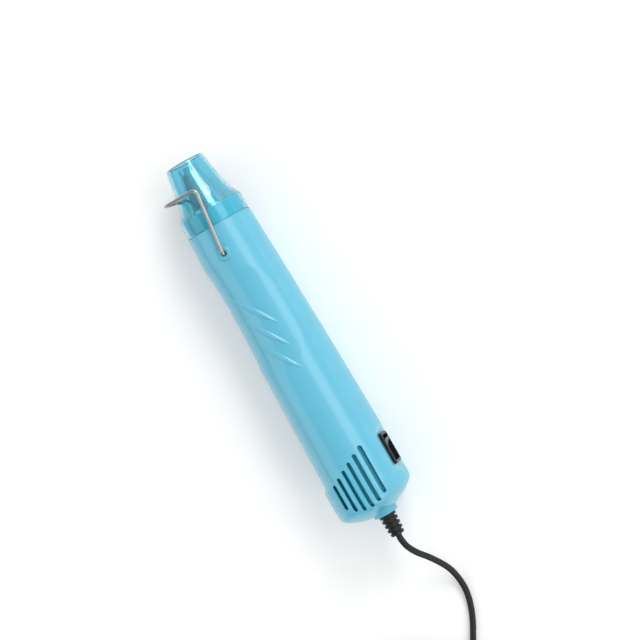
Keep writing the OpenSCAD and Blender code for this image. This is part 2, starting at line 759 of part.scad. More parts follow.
module inner_cord() {
    start = tail_s - 8;
    color([0.1, 0.1, 0.11]) in_tool() translate([cord_x, 0, start])
        cylinder(r = cord_r, h = boot_end - start);
}

// Round wire along points, with a bend of its own radius at each corner. The bends are a hair
// fuller than the straights, which run into them by a short lap.
swell = 0.03;
lap = 0.15;
module wire(points, bends, r) {
    n = len(points) - 1;
    ways = [for (i = [0:n - 1]) unit(points[i + 1] - points[i])];
    cuts = [for (i = [0:n]) (i == 0 || i == n) ? 0 : bends[i - 1] * tan(acos(ways[i - 1] * ways[i]) / 2)];
    for (i = [0:n - 1]) {
        from = points[i] + ways[i] * (i > 0 ? cuts[i] - lap : 0);
        length = norm(points[i + 1] - from) - (i < n - 1 ? cuts[i + 1] - lap : 0);
        side = unit(cross(ways[i], ways[i > 0 ? i - 1 : 1]));
        over = cross(ways[i], side);
        multmatrix([for (k = [0:2]) [side[k], over[k], ways[i][k], from[k]]]) cylinder(r = r, h = length);
    }
    for (i = [1:n - 1]) {
        turn = acos(ways[i - 1] * ways[i]);
        inward = unit(ways[i] - ways[i - 1] * (ways[i - 1] * ways[i]));
        start = points[i] - ways[i - 1] * cuts[i];
        centre = start + inward * bends[i - 1];
        normal = cross(-inward, ways[i - 1]);
        multmatrix([for (k = [0:2]) [-inward[k], ways[i - 1][k], normal[k], centre[k]]])
            rotate_extrude(angle = turn) translate([bends[i - 1], 0]) circle(r + swell);
    }
}

// The self-support stand: one bent wire, its ends turned into the two pivot bosses.
module wire_stand() {
    $fn = 20;
    color("silver") in_tool() wire(
        [[0, pin_end, pivot_s], [0, leg_y, pivot_s], [leg_lean, leg_y, bar_back],
            [bar_x, leg_y, bar_back], [bar_x, -leg_y, bar_back],
            [leg_lean, -leg_y, bar_back], [0, -leg_y, pivot_s], [0, -pin_end, pivot_s]],
        [1.6, stand_bend_r, stand_bend_r, stand_bend_r, stand_bend_r, 1.6], wire_r);
}

module power_cord() {
    color([0.1, 0.1, 0.11]) tube(cord_route, cord_r, 8, [0, 0, 1]);
}

// The rest of the cord: it spirals in and out, and climbs a layer where the spiral reverses.
coil_rings = 24;
function eased(t) = let (c = min(1, max(0, t))) c * c * (3 - 2 * c);
layer_turn = 360 * coil_turns;
function coil_point(a) = let (
    layer = min(floor(a / layer_turn), coil_layers - 1),
    way = a - layer * layer_turn,
    r = layer % 2 == 0 ? coil_out - coil_pitch * way / 360 : coil_r + coil_pitch * way / 360,
    climb = [for (k = [1:max(1, coil_layers - 1)]) eased((a - k * layer_turn + 90) / 180)],
    z = coil_z + coil_pitch * (climb * [for (k = climb) 1]))
    [coil_centre[0] + r * cos(a), coil_centre[1] - r * sin(a), z];
coil_whole = layer_turn * coil_layers;
coil_count = round(coil_rings * coil_turns * coil_layers);
coil_turned = [for (i = [0:coil_count]) coil_point(coil_whole * i / coil_count)];
coil_way = unit([-sin(coil_whole), -cos(coil_whole), 0]);
coil_end = coil_turned[coil_count] + cord_d * coil_way;
coil_path = concat([coil_start], coil_turned, [coil_end]);
module cord_coil() {
    echo(coil_self_gap = self_gap(coil_path, cord_r, 18));
    color([0.1, 0.1, 0.11]) tube(coil_path, cord_r, 6, [0, 0, 1]);
}

// A flat band round the coil's bundle.
module cord_tie() {
    span = coil_out - coil_r + cord_d + 0.8;
    height = coil_pitch * (coil_layers - 1) + cord_d + 0.8;
    color([0.2, 0.2, 0.22]) translate([coil_centre[0], coil_centre[1], coil_z - cord_r - 0.4])
        rotate([0, 0, 200]) translate([coil_r - cord_r - 0.4, -2, 0]) difference() {
            translate([-0.5, 0, -0.5]) cube([span + 1, 4, height + 1]);
            translate([0, -1, 0]) cube([span, 6, height]);
        }
}

module plug_lead() {
    path = concat([coil_end, coil_end + 2.5 * coil_way], lead_route);
    color([0.1, 0.1, 0.11]) tube(path, cord_r, 8, [0, 0, 1]);
}

// The plug's half width at a distance from its face, easing from the grip down to the cord.
function plug_half(a, width) = let (t = min(1, max(0, (a - 8) / (plug_len - 16))))
    cord_r + 2.2 + (width / 2 - cord_r - 2.2) * (0.5 + 0.5 * cos(180 * t));
module plug_outline(width) {
    polygon(concat([for (i = [0:12]) [-plug_half(plug_len * i / 12, width), plug_len * i / 12]],
        [for (i = [12:-1:0]) [plug_half(plug_len * i / 12, width), plug_len * i / 12]]));
}
module on_lead() {
    end = lead_route[len(lead_route) - 1];
    translate([end[0], end[1] - plug_len, end[2]]) children();
}
module plug_body() {
    color([0.1, 0.1, 0.11]) on_lead() intersection() {
        translate([0, 0, -far / 2]) linear_extrude(far) plug_outline(plug_w);
        rotate([0, -90, 0]) translate([0, 0, -far / 2]) linear_extrude(far) plug_outline(plug_t);
        rotate([-90, 0, 0]) rotate_extrude() polygon(concat([[0, 0]],
            [for (i = [0:12]) let (a = plug_len * i / 12) [plug_half(a, plug_w * 1.1), a]], [[0, plug_len]]));
    }
}

module plug_pins() {
    color("gold") on_lead() for (side = [-1, 1])
        translate([side * pin_spread, -pin_len, 0]) rotate([0, side * 30, 0])
            translate([-pin_t / 2, 0, -pin_w / 2]) cube([pin_t, pin_len - 0.05, pin_w]);
}

face_shell();
rear_shell();
case_screws();
nozzle_guard();
nozzle_barrel();
barrel_ring();
mica_sleeve();
heater_former();
heating_coil();
thermal_cutout();
fan_housing();
fan_impeller();
motor_shaft();
motor_can();
motor_magnets();
armature();
motor_end_cap();
motor_terminals();
rectifier_board();
rectifier_diodes();
switch_housing();
rocker();
rocker_pin();
switch_terminals();
strain_relief();
cord_grip();
inner_cord();
wire_stand();
power_cord();
cord_coil();
cord_tie();
plug_lead();
plug_body();
plug_pins();
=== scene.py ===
# %% [markdown]
# # An embossing heat tool, dressed around its CAD frame
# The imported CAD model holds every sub-part at its true size. This lesson loads it as a fixed
# frame and makes the pieces that the eye meets: the moulded casing, the translucent nozzle
# guard, the polished steel nozzle, the wire stand, the switch, the boot, the cord and the plug.
# Each new piece is a surface that numpy works out as whole arrays, from a formula of its own.

# %% Load the frame
import math

import bmesh
import bpy
import numpy as np
from mathutils import Matrix, Vector, geometry


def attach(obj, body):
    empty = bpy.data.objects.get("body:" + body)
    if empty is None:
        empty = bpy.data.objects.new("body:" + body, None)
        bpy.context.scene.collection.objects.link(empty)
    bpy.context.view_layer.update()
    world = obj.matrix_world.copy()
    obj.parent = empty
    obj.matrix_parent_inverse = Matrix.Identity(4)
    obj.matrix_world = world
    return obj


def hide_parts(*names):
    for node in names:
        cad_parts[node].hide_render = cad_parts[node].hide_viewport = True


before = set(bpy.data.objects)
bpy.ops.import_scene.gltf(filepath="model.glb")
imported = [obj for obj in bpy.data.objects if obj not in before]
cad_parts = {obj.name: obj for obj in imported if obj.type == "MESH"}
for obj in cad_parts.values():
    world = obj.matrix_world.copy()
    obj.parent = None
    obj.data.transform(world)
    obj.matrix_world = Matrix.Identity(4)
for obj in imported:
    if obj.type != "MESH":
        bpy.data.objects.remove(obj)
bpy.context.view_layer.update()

# %% [markdown]
# ## The tool's own frame
# The casing is easiest to describe in its own frame, in millimetres: x to the switch side, y
# out of the face, and s back along the axis from the guard's tip. One function lays it on its
# back, nozzle to +Y, just as the CAD source does.

# %% Tool frame and the sizes shared with the CAD
MM = 0.001
AXIS_Z = 26.0
GUARD_CONE, GUARD_COLLAR, GUARD_TIP_R, GUARD_TAPER, GUARD_WALL = 32.3, 11.0, 12.5, 5.1, 1.8
FRONT_R, TAIL_R, SIDE_LEN, WALL = 21.4, 26.0, 190.6, 2.2
BODY_FRONT = GUARD_CONE + GUARD_COLLAR + 0.1
TAIL_S = BODY_FRONT + SIDE_LEN
DOME_R, CORNER_R, TILT = 39.0, 6.0, math.radians(6.5)
CORNER_C = TAIL_R - CORNER_R + 0.1
DOME_Z = -math.sqrt((DOME_R - CORNER_R) ** 2 - CORNER_C ** 2)
BOOT_R, BOOT_LEN, CORD_X, CORD_R = 5.5, 14.4, 1.0, 2.0
COLLAR_END = TAIL_S + DOME_Z + DOME_R + 1.6
BOOT_END = COLLAR_END + BOOT_LEN
TIP_Y = BOOT_END / 2
SWITCH_S, PAD_X, PIVOT_S = TAIL_S - 20.5, TAIL_R - 3.2, BODY_FRONT + 18.2


def place(x, y, s):
    """World point of a tool point: X = x, Y = tip - s, Z = axis + y, in metres."""
    return np.stack(np.broadcast_arrays(x, TIP_Y - s, AXIS_Z + y), axis=-1) * MM


print("tip at Y", round(TIP_Y, 2), "mm, tail corner at s", TAIL_S)

# %% [markdown]
# ## Camera
# The photograph looks down on the tool, rolled by about 30 degrees and from 15 degrees off the
# vertical on the switch side, through a long lens. The camera stands on that line.

# %% Camera
ROLL, LEAN = math.radians(29.8), math.radians(15)
across = Vector((math.cos(LEAN), 0, -math.sin(LEAN)))
along = Vector((0, 1, 0))
back = Vector((math.sin(LEAN), 0, math.cos(LEAN)))
right = across * math.cos(ROLL) - along * math.sin(ROLL)
up = across * math.sin(ROLL) + along * math.cos(ROLL)
target = Vector((0.0254, 0.0063, 0.026))
DISTANCE, FRAME_WIDTH, SENSOR = 1.6, 0.3904, 36
camera_data = bpy.data.cameras.new("camera")
camera_data.sensor_width = SENSOR
camera_data.lens = SENSOR * DISTANCE / FRAME_WIDTH
camera_data.clip_end = 20
camera = bpy.data.objects.new("camera", camera_data)
turned = Matrix((right, up, back)).transposed().to_4x4()
camera.matrix_world = Matrix.Translation(target + back * DISTANCE) @ turned
bpy.context.scene.collection.objects.link(camera)
bpy.context.scene.camera = camera
print("lens", round(camera_data.lens, 1), "mm")

# %% [markdown]
# ## Mesh helpers
# A piece is a grid of points that a formula gives, so two helpers turn a grid into faces and
# another makes the object. Its place is in its mesh, and it rides on a CAD body. A grid can come
# out inside out, and a mirrored one does, so each part's faces are turned outwards as it is made.


# %% Grids, caps and objects
def grid_faces(rows, cols, wrap_rows=False):
    """Quads of a rows x cols grid of points. Rows are closed loops; wrap_rows closes it both ways."""
    i = np.arange(rows if wrap_rows else rows - 1)[:, None]
    j = np.arange(cols)[None, :]
    i2, j2 = (i + 1) % rows, (j + 1) % cols
    a, b, c, d = i * cols + j, i * cols + j2, i2 * cols + j2, i2 * cols + j
    return np.stack(np.broadcast_arrays(a, b, c, d), axis=-1).reshape(-1, 4)


def capped(rings):
    """A closed part from (rows, cols, 3) points: closed rows joined by quads, and two end faces."""
    n, m = rings.shape[:2]
    ends = [list(range(m)), list(range((n - 1) * m, n * m))]
    return rings.reshape(-1, 3), grid_faces(n, m).tolist() + ends


def make_piece(name, parts, body, material, stands_for=(), crease=40):
    """One object from (points, faces) parts, smooth but for edges sharper than crease degrees."""
    whole = bmesh.new()
    for points, faces in parts:
        mesh = bpy.data.meshes.new("part of " + name)
        mesh.from_pydata(points.tolist(), [], [list(face) for face in faces])
        mesh.validate()
        shape = bmesh.new()
        shape.from_mesh(mesh)
        bmesh.ops.recalc_face_normals(shape, faces=shape.faces)
        if shape.calc_volume(signed=True) < 0:
            bmesh.ops.reverse_faces(shape, faces=shape.faces)
        shape.to_mesh(mesh)
        shape.free()
        whole.from_mesh(mesh)
        bpy.data.meshes.remove(mesh)
    mesh = bpy.data.meshes.new(name)
    whole.to_mesh(mesh)
    whole.free()
    mesh.polygons.foreach_set("use_smooth", np.ones(len(mesh.polygons), bool))
    mesh.set_sharp_from_angle(angle=math.radians(crease))
    mesh.materials.append(material)
    piece = bpy.data.objects.new(name, mesh)
    bpy.context.scene.collection.objects.link(piece)
    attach(piece, body)
    if stands_for:
        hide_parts(*stands_for)
    print(name, len(mesh.vertices), "points")
    return piece


def revolve(profile, sides=96, centre=(0.0, 0.0), start=0.0, sweep=2 * math.pi):
    """Carries a closed profile of (radius, s) round the tool's axis: x = r cos a, y = r sin a."""
    whole = sweep > 6.28
    angle = start + sweep * np.arange(sides + (not whole)) / sides
    x = centre[0] + profile[:, :1] * np.cos(angle)
    y = centre[1] + profile[:, :1] * np.sin(angle)
    points = place(x, y, profile[:, 1:])
    if whole:
        return points.reshape(-1, 3), grid_faces(*x.shape, wrap_rows=True)
    return capped(points.transpose(1, 0, 2))


def arc(centre, radius, a0, a1, steps=6):
    """Points of a circular arc from a0 to a1 degrees, for a profile's rounded corner."""
    a = np.radians(np.linspace(a0, a1, steps))
    return np.stack([centre[0] + radius * np.cos(a), centre[1] + radius * np.sin(a)], axis=-1)


def round_angles(count):
    """Angles of a circle's points."""
    return 2 * math.pi * np.arange(count) / count


# %% [markdown]
# ## Finishes
# Every finish is a Principled shader whose colour and surface come from noise on Object
# coordinates, so that the pattern has the right size in metres and stays on the piece.


# %% Material builder
BROAD_SCALE, ROUGHNESS_DRIFT = 40, 0.04


def feed(tree, made, inputs):
    """Sets a node's inputs, or links those that are given as sockets."""
    for key, value in inputs.items():
        if isinstance(value, bpy.types.NodeSocket):
            tree.links.new(value, made.inputs[key])
        else:
            made.inputs[key].default_value = value


def node(tree, kind, inputs, **settings):
    """Adds a shader node, its inputs given as values or as the sockets they come from."""
    made = tree.nodes.new("ShaderNode" + kind)
    for key, value in settings.items():
        setattr(made, key, value)
    feed(tree, made, inputs)
    return made.outputs


def finish(name, colour, roughness, vary=0.03, grain=1500, bump=0.00001, stretch=(1, 1, 1), **sockets):
    """Principled shader: colour and roughness drift with a broad noise, a fine noise is the bump."""
    material = bpy.data.materials.new(name)
    material.use_nodes = True
    tree = material.node_tree
    coords = node(tree, "TexCoord", {})["Object"]
    broad = node(tree, "TexNoise", {"Vector": coords, "Scale": BROAD_SCALE, "Detail": 4})["Fac"]
    low = [max(0, c * (1 - vary) - vary * 0.02) for c in colour]
    high = [min(1, c * (1 + vary) + vary * 0.02) for c in colour]
    tint = node(tree, "Mix", {"Factor": broad, "A": (*low, 1), "B": (*high, 1)},
                data_type="RGBA")["Result"]
    spread = node(tree, "MapRange", {"Value": broad, "To Min": max(0.02, roughness - ROUGHNESS_DRIFT),
                                     "To Max": roughness + ROUGHNESS_DRIFT})["Result"]
    mapped = node(tree, "Mapping", {"Vector": coords, "Scale": stretch})["Vector"]
    fine = node(tree, "TexNoise", {"Vector": mapped, "Scale": grain, "Detail": 3})["Fac"]
    height = node(tree, "Bump", {"Height": fine, "Distance": bump})["Normal"]
    values = {key.replace("_", " "): value for key, value in sockets.items()}
    feed(tree, tree.nodes["Principled BSDF"],
         {"Base Color": tint, "Roughness": spread, "Normal": height, **values})
    return material


aqua = finish("aqua_moulding", (0.12, 0.53, 0.71), 0.34, vary=0.04, grain=900, bump=0.00002,
              Coat_Weight=0.6, Coat_Roughness=0.1, Subsurface_Weight=0.35,
              Subsurface_Radius=(0.3, 1.0, 1.2), Subsurface_Scale=0.0016)
# A brighter copy of the casing's aqua for the sleeve under the guard: painted light.
aqua_painted_lit = finish("aqua_painted_light_under_guard", (0.1, 0.96, 1.0), 0.34, grain=900, bump=0.00002)
aqua_shade = finish("aqua_in_shade", (0.003, 0.26, 0.35), 0.34, grain=900, bump=0.00002)
teal_clear = finish("translucent_teal", (0.34, 0.76, 0.89), 0.05, grain=500, bump=0.000006,
                    Transmission_Weight=0.93, IOR=1.47)
steel = finish("spun_steel", (0.75, 0.75, 0.74), 0.12, vary=0.02, grain=700, bump=0.000006,
               stretch=(0.02, 1, 0.02), Metallic=1.0)
wire_steel = finish("plated_wire", (0.43, 0.395, 0.37), 0.14, vary=0.04, grain=900, Metallic=1.0)
black_plastic = finish("black_moulding", (0.012, 0.012, 0.014), 0.21, vary=0.15, grain=1200,
                       Specular_IOR_Level=0.25)
black_rubber = finish("black_cord_skin", (0.012, 0.012, 0.013), 0.38, vary=0.15, bump=0.00003,
                      Specular_IOR_Level=0.3)
brass = finish("bright_brass", (0.75, 0.58, 0.3), 0.2, vary=0.06, grain=900, Metallic=1.0)
mica = finish("mica", (0.6, 0.5, 0.36), 0.6, vary=0.15, grain=900)
heat_wire = finish("heating_wire", (0.3, 0.28, 0.27), 0.4, Metallic=1.0)
ivory = finish("duct_plastic", (0.75, 0.72, 0.62), 0.5)
motor_steel = finish("motor_steel", (0.5, 0.52, 0.54), 0.35, Metallic=1.0)
core_steel = finish("motor_core", (0.35, 0.2, 0.12), 0.4, Metallic=0.8)
dark_part = finish("dark_moulding", (0.05, 0.05, 0.055), 0.5)
board_green = finish("board_green", (0.03, 0.2, 0.08), 0.4)
ceramic = finish("cutout_white", (0.75, 0.74, 0.7), 0.5)
brown_ring = finish("heat_ring", (0.25, 0.13, 0.06), 0.55)
dull_metal = finish("crimped_collar", (0.5, 0.5, 0.5), 0.4, Metallic=1.0)

NODE_FINISHES = {
    "case_screws": wire_steel, "barrel_ring": brown_ring, "mica_sleeve": mica, "heater_former": mica,
    "heating_coil": heat_wire, "thermal_cutout": ceramic, "fan_housing": ivory, "fan_impeller": ivory,
    "motor_shaft": motor_steel, "motor_can": motor_steel, "motor_magnets": dark_part,
    "armature": core_steel, "motor_end_cap": dark_part, "motor_terminals": brass,
    "rectifier_board": board_green, "rectifier_diodes": dark_part, "rocker_pin": wire_steel,
    "switch_terminals": dull_metal,
    "cord_grip": dull_metal, "inner_cord": black_rubber, "face_shell": aqua, "rear_shell": aqua,
    "nozzle_guard": teal_clear, "nozzle_barrel": steel, "switch_housing": black_plastic,
    "rocker": black_plastic, "strain_relief": black_rubber, "wire_stand": wire_steel,
    "power_cord": black_rubber, "cord_coil": black_rubber, "cord_tie": dark_part,
    "plug_lead": black_rubber, "plug_body": black_rubber, "plug_pins": brass}
for name, material in NODE_FINISHES.items():
    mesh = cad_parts[name].data
    mesh.materials.clear()
    mesh.materials.append(material)
print(len(NODE_FINISHES), "CAD nodes have a finish")

# %% [markdown]
# ## The moulded casing
# The real casing is two thin shells. Its skin is not a plain cone: it swells towards the tail,
# a shallow thumb scoop and a finger recess are taken out of it, the domed tail is tilted, and
# a flat carries the switch. A distance function says how far a point is outside each of these
# forms; the largest of them, blended, is the distance to the skin. Rays from the axis then find
# the skin by halving, for every grid point at once.


# %% Distance to the skin
THUMB_DEPTH, THUMB_RUN = 2.8, (BODY_FRONT + 52, BODY_FRONT + 75.6, 170, 140)
FINGER_DEPTH, FINGER_RUN = 1.9, (BODY_FRONT + 57, TAIL_S - 19, 206, 4)
PAD_HALF, RAMP_FRONT, RAMP_REAR, RAMP_RISE = 11.5, 10, 11, 6
SWELL_END, SWELL_POWER, CAP_LEAN = TAIL_S - 5, 1.5, 0.25
BLEND_TAIL, BLEND_THUMB, BLEND_FINGER, BLEND_PAD = 1.5, 0.12, 0.25, 0.35
VENT_ROUND, SEAM_ROUND, SEAM_HALF = 0.4, 0.35, 0.08
VENT_HALF, VENT_PITCH, VENT_STEP = 1.25, 5.2, 2.8
VENT_X = (np.arange(6) - 2.5) * VENT_PITCH
VENT_FRONT = TAIL_S - 24.5 - VENT_STEP * (np.arange(6) - 2.5)
VENT_REAR = TAIL_S + 5.1 - (VENT_X - CORD_X) ** 2 / 34
RIB_LEN, RIB_W, RIB_H, RIB_LEAN = 32.0, 3.2, 0.8, math.radians(37)
RIB_X, RIB_FROM, RIB_PITCH = -1.6, BODY_FRONT + 57.8, 15.6


def soft_max(a, b, k):
    """The larger of two distances, rounded where they cross over a width k."""
    h = np.maximum(k - np.abs(a - b), 0) / k
    return np.maximum(a, b) + h * h * k / 4


def side_radius(s):
    """Radius of the casing's side: quick swelling behind the nozzle, slow towards the tail."""
    t = np.clip((s - BODY_FRONT) / (SWELL_END - BODY_FRONT), 0, 1)
    return FRONT_R + (TAIL_R - FRONT_R) * (1 - (1 - t) ** SWELL_POWER)


def flare(s, s0, s1, r0, r1):
    """How far a scoop lifts off the side before s0 and after s1, along two circles."""
    return np.maximum(0, s0 - s) ** 2 / (2 * r0) + np.maximum(0, s - s1) ** 2 / (2 * r1)


def cap_distance(x, y, s):
    """Distance to the tilted tail: a dome and the rounded corner where it meets the side."""
    z = s - TAIL_S
    qx, qz = x * math.cos(TILT) - z * math.sin(TILT), x * math.sin(TILT) + z * math.cos(TILT)
    rho = np.hypot(qx, y)
    from_pole = np.arctan2(rho - CORNER_C, qz)
    dome = np.hypot(rho, qz - DOME_Z) - DOME_R
    corner = np.hypot(rho - CORNER_C, qz) - CORNER_R
    below = rho - CORNER_C - CORNER_R + CAP_LEAN * qz
    turn = math.asin(CORNER_C / (DOME_R - CORNER_R))
    return np.where(qz < 0, below, np.where(from_pole < turn, dome, corner))


def pad_distance(x, s):
    """How deep a point is in the switch's flat, which has a ramp at each end."""
    front, rear = SWITCH_S - PAD_HALF, SWITCH_S + PAD_HALF
    flat = x - PAD_X
    ramp_front = (flat * RAMP_FRONT + (s - front) * RAMP_RISE) / math.hypot(RAMP_FRONT, RAMP_RISE)
    ramp_rear = (flat * RAMP_REAR - (s - rear) * RAMP_RISE) / math.hypot(RAMP_REAR, RAMP_RISE)
    return -soft_max(soft_max(-flat, -ramp_front, 1.5), -ramp_rear, 1.5)


def vent_distance(x, s):
    """Distance to the nearest of the six vent slots, less than 0 inside."""
    over = [np.hypot(x - vx, np.maximum(0, np.maximum(f + VENT_HALF - s, s - r + VENT_HALF)))
            for vx, f, r in zip(VENT_X, VENT_FRONT, VENT_REAR)]
    return np.min(over, axis=0) - VENT_HALF


def rib_height(x, s):
    """Height of the three leaf-shaped grip ribs: a leaf is the overlap of two circles."""
    r = (RIB_LEN ** 2 / RIB_W + RIB_W) / 4
    cos, sin = math.cos(RIB_LEAN), math.sin(RIB_LEAN)
    total = np.zeros(np.broadcast(x, s).shape)
    for k in range(3):
        dx, ds = x - RIB_X, s - (RIB_FROM + RIB_PITCH * k)
        run, off = dx * sin + ds * cos, dx * cos - ds * sin
        inside = np.clip((r - np.hypot(np.abs(off) + r - RIB_W / 2, run)) / (RIB_W / 2), 0, 1)
        total += RIB_H * np.sqrt(np.clip(1 - (1 - inside) ** 2, 0, 1))
    return total


def rounding(distance, radius):
    """Drop of an edge rounded to a radius, at a distance from the edge."""
    d = np.clip(distance, 0, radius)
    return radius - np.sqrt(radius ** 2 - (radius - d) ** 2)


def skin_distance(x, y, s, detail):
    """Distance outside the casing's skin; y counts the same on the face and on the back."""
    y = np.abs(y)
    side = np.hypot(x, y) - side_radius(s)
    off = THUMB_DEPTH / math.sqrt(2)
    thumb = np.hypot(x - off, y + off) - side_radius(s) - flare(s, *THUMB_RUN)
    shift = FINGER_DEPTH / (math.cos(math.radians(15)) - 0.5)
    finger = np.hypot(x - shift, y) - side_radius(s) - shift / 2 - flare(s, *FINGER_RUN)
    d = soft_max(side, cap_distance(x, y, s), BLEND_TAIL)
    d = soft_max(d, thumb, BLEND_THUMB)
    d = soft_max(d, finger, BLEND_FINGER)
    d = soft_max(d, pad_distance(x, s), BLEND_PAD)
    if detail:
        edges = rounding(vent_distance(x, s), VENT_ROUND), rounding(y - SEAM_HALF, SEAM_ROUND)
        d = d - rib_height(x, s) + edges[0] + edges[1]
    return d


print("skin radius at s 120, over the face:", round(float(side_radius(120.0)), 2))

# %% [markdown]
# The grid runs round the half (u, an arc length) and back along it (v). Up to a turning point
# the rays leave the axis squarely; past it they fan out from one point, so that the same grid
# goes over the tail's corner and dome. Slots and the pivot hole are outlines in that flat
# domain, and a constrained Delaunay triangulation fills the rest.

# %% Rays and the flat domain
TURN_S, U_RADIUS, V_RADIUS, DRIFT_S = 222.0, 24.0, 27.0, 180.0
CUT_W, CUT_L, CUT_X = 6.6, 9.5, 15
HOLE_R, WELL_R, WELL_OUT, SCREW_X = 1.9, 2.6, 3.4, 16.85
SCREW_S = [BODY_FRONT + 8.6, SWITCH_S - 15.5]
WELLS = [(side * SCREW_X, s) for side in (-1, 1) for s in SCREW_S]
SEAM_U = U_RADIUS * 0.1 / 23
TAIL_V = TURN_S + V_RADIUS * math.radians(76.5)
RIB_ZONE, VENT_ZONE, RIB_GRID, VENT_GRID = (84, 150), (193, 247), 0.62, 0.9


def axis_x(s):
    """The rays' starting line drifts from the axis to the cord's centre line near the tail."""
    t = np.clip((s - DRIFT_S) / (TURN_S - DRIFT_S), 0, 1)
    return CORD_X * t * t * (3 - 2 * t)


def ray(u, v):
    """Start and direction of the ray of a domain point."""
    phi, beta = u / U_RADIUS, np.maximum(0, v - TURN_S) / V_RADIUS
    s0 = np.minimum(v, TURN_S)
    start = np.stack([axis_x(s0), np.zeros_like(s0), s0])
    way = np.stack([np.cos(phi) * np.cos(beta), np.sin(phi) * np.cos(beta), np.sin(beta)])
    return start, way


def cast(start, way, inset, detail=True):
    """Follows rays to where the skin's distance is -inset, by halving an interval."""
    low, high = np.full(start.shape[1:], 2.0), np.full(start.shape[1:], 60.0)
    for _ in range(36):
        middle = (low + high) / 2
        out = skin_distance(*(start + way * middle), detail) > -inset
        low, high = np.where(out, low, middle), np.where(out, middle, high)
    return start + way * (low + high) / 2


def skin_to_domain(px, py, ps):
    """Domain place of a point: its angle about the rays' line, and its place along the rays."""
    s0 = np.minimum(ps, TURN_S)
    phi = np.arctan2(py, px - axis_x(s0))
    beta = np.arctan2(np.maximum(0, ps - TURN_S), np.hypot(px - CORD_X, py))
    return phi * U_RADIUS, np.where(ps > TURN_S, TURN_S + beta * V_RADIUS, ps)


def straight_up(x, s, detail=True):
    """Height of the skin over the joint plane at (x, s)."""
    return cast(np.stack([x, 0 * x, s]), np.stack([0 * x, 0 * x + 1, 0 * x]), 0, detail)[1]


def to_domain(x, s):
    """Domain place of the skin point over (x, s)."""
    return skin_to_domain(x, straight_up(x, s), s)


def cut_distance(x, y, s):
    """Distance to the rectangular hole for the switch, in the flat of the switch side."""
    d = np.maximum(y - CUT_W, np.abs(s - SWITCH_S) - CUT_L)
    return np.where(x > CUT_X, d, 99.0)


def stadium(cx, s0, s1, half, offset):
    """Outline of a slot grown by an offset: two half circles and two straights, by arc length."""
    r = half + offset
    straight = s1 - s0 - 2 * half
    n_arc, n_line = max(8, int(math.pi * r / 0.45)), max(2, int(straight / 0.9))
    a = np.linspace(0, math.pi, n_arc, endpoint=False)
    line = np.linspace(0, straight, n_line, endpoint=False)
    x = np.concatenate([r * np.cos(a + math.pi), np.full(n_line, r), r * np.cos(a),
                        np.full(n_line, -r)])
    s = np.concatenate([r * np.sin(a + math.pi) + s0 + half, s0 + half + line,
                        r * np.sin(a) + s1 - half, s1 - half - line])
    return cx + x, s


def well_distance(x, s):
    """Distance to the nearest screw well, less than 0 inside."""
    return np.min([np.hypot(x - wx, s - ws) - WELL_R for wx, ws in WELLS], axis=0)


def domain_points(wells):
    """Grid points, finer over the ribs and round the slots, and outline loops with their edges."""
    half = math.pi * U_RADIUS
    seam = SEAM_U + np.array([0, 0.08, 0.18, 0.3, 0.45, 0.7])
    u = np.concatenate([seam, np.linspace(1.6, half - 1.6, 62), half - seam[::-1]])
    v = np.concatenate([BODY_FRONT + np.array([0.4, 0.8]),
                        np.linspace(BODY_FRONT + 1.6, TAIL_V, 142)])
    uu, vv = (g.ravel() for g in np.meshgrid(u, v))
    middle = half / 2
    fine_u, fine_v = np.meshgrid(np.arange(middle - 21, middle + 23, RIB_GRID),
                                 np.arange(*RIB_ZONE, RIB_GRID))
    vent_u, vent_v = np.meshgrid(np.arange(middle - 20, middle + 20, VENT_GRID),
                                 np.arange(*VENT_ZONE, VENT_GRID))
    in_fine = (np.abs(uu - middle - 1) < 22) & (vv > RIB_ZONE[0]) & (vv < RIB_ZONE[1])
    in_vent = (np.abs(uu - middle) < 20) & (vv > VENT_ZONE[0]) & (vv < VENT_ZONE[1] - 0.5)
    keep = ~in_fine & ~in_vent
    grid_u = np.concatenate([uu[keep], fine_u.ravel(), vent_u.ravel()])
    grid_v = np.concatenate([vv[keep], fine_v.ravel(), vent_v.ravel()])
    start, way = ray(grid_u, grid_v)
    gx, gy, gs = cast(start, way, 0)
    clear = (vent_distance(gx, gs) > 0.62) & (np.hypot(gx, gs - PIVOT_S) > HOLE_R + 0.5)
    clear &= cut_distance(gx, gy, gs) > 0.3
    if wells:
        clear &= well_distance(gx, gs) > 0.62
    points = [np.stack([grid_u[clear], grid_v[clear]], axis=1)]
    edges, count = [], int(clear.sum())
    outlines = [(vx, f, r, VENT_HALF) for vx, f, r in zip(VENT_X, VENT_FRONT, VENT_REAR)]
    outlines.append((0.0, PIVOT_S - HOLE_R, PIVOT_S + HOLE_R, HOLE_R))
    if wells:
        outlines += [(wx, ws - WELL_R, ws + WELL_R, WELL_R) for wx, ws in WELLS]
    for cx, s0, s1, r in outlines:
        for offset in (0.0, 0.06, 0.16, 0.3, 0.45):
            loop = np.stack(to_domain(*stadium(cx, s0, s1, r, offset)), axis=1)
            if offset == 0:
                i = count + np.arange(len(loop))
                edges += np.stack([i, np.roll(i, -1)], axis=1).tolist()
            points.append(loop)
            count += len(loop)
    s0, s1 = SWITCH_S - CUT_L, SWITCH_S + CUT_L
    cut_y = np.concatenate([np.linspace(0.1, CUT_W, 9), np.full(22, CUT_W),
                            np.linspace(CUT_W, 0.1, 9)])
    cut_s = np.concatenate([np.full(9, s0), np.linspace(s0, s1, 24)[1:-1], np.full(9, s1)])
    cut = np.stack(skin_to_domain(np.full(40, PAD_X), cut_y, cut_s), axis=1)
    cut[[0, -1], 0] = SEAM_U
    edges += [[count + i, count + i + 1] for i in range(39)]
    points.append(cut)
    return np.concatenate(points), edges


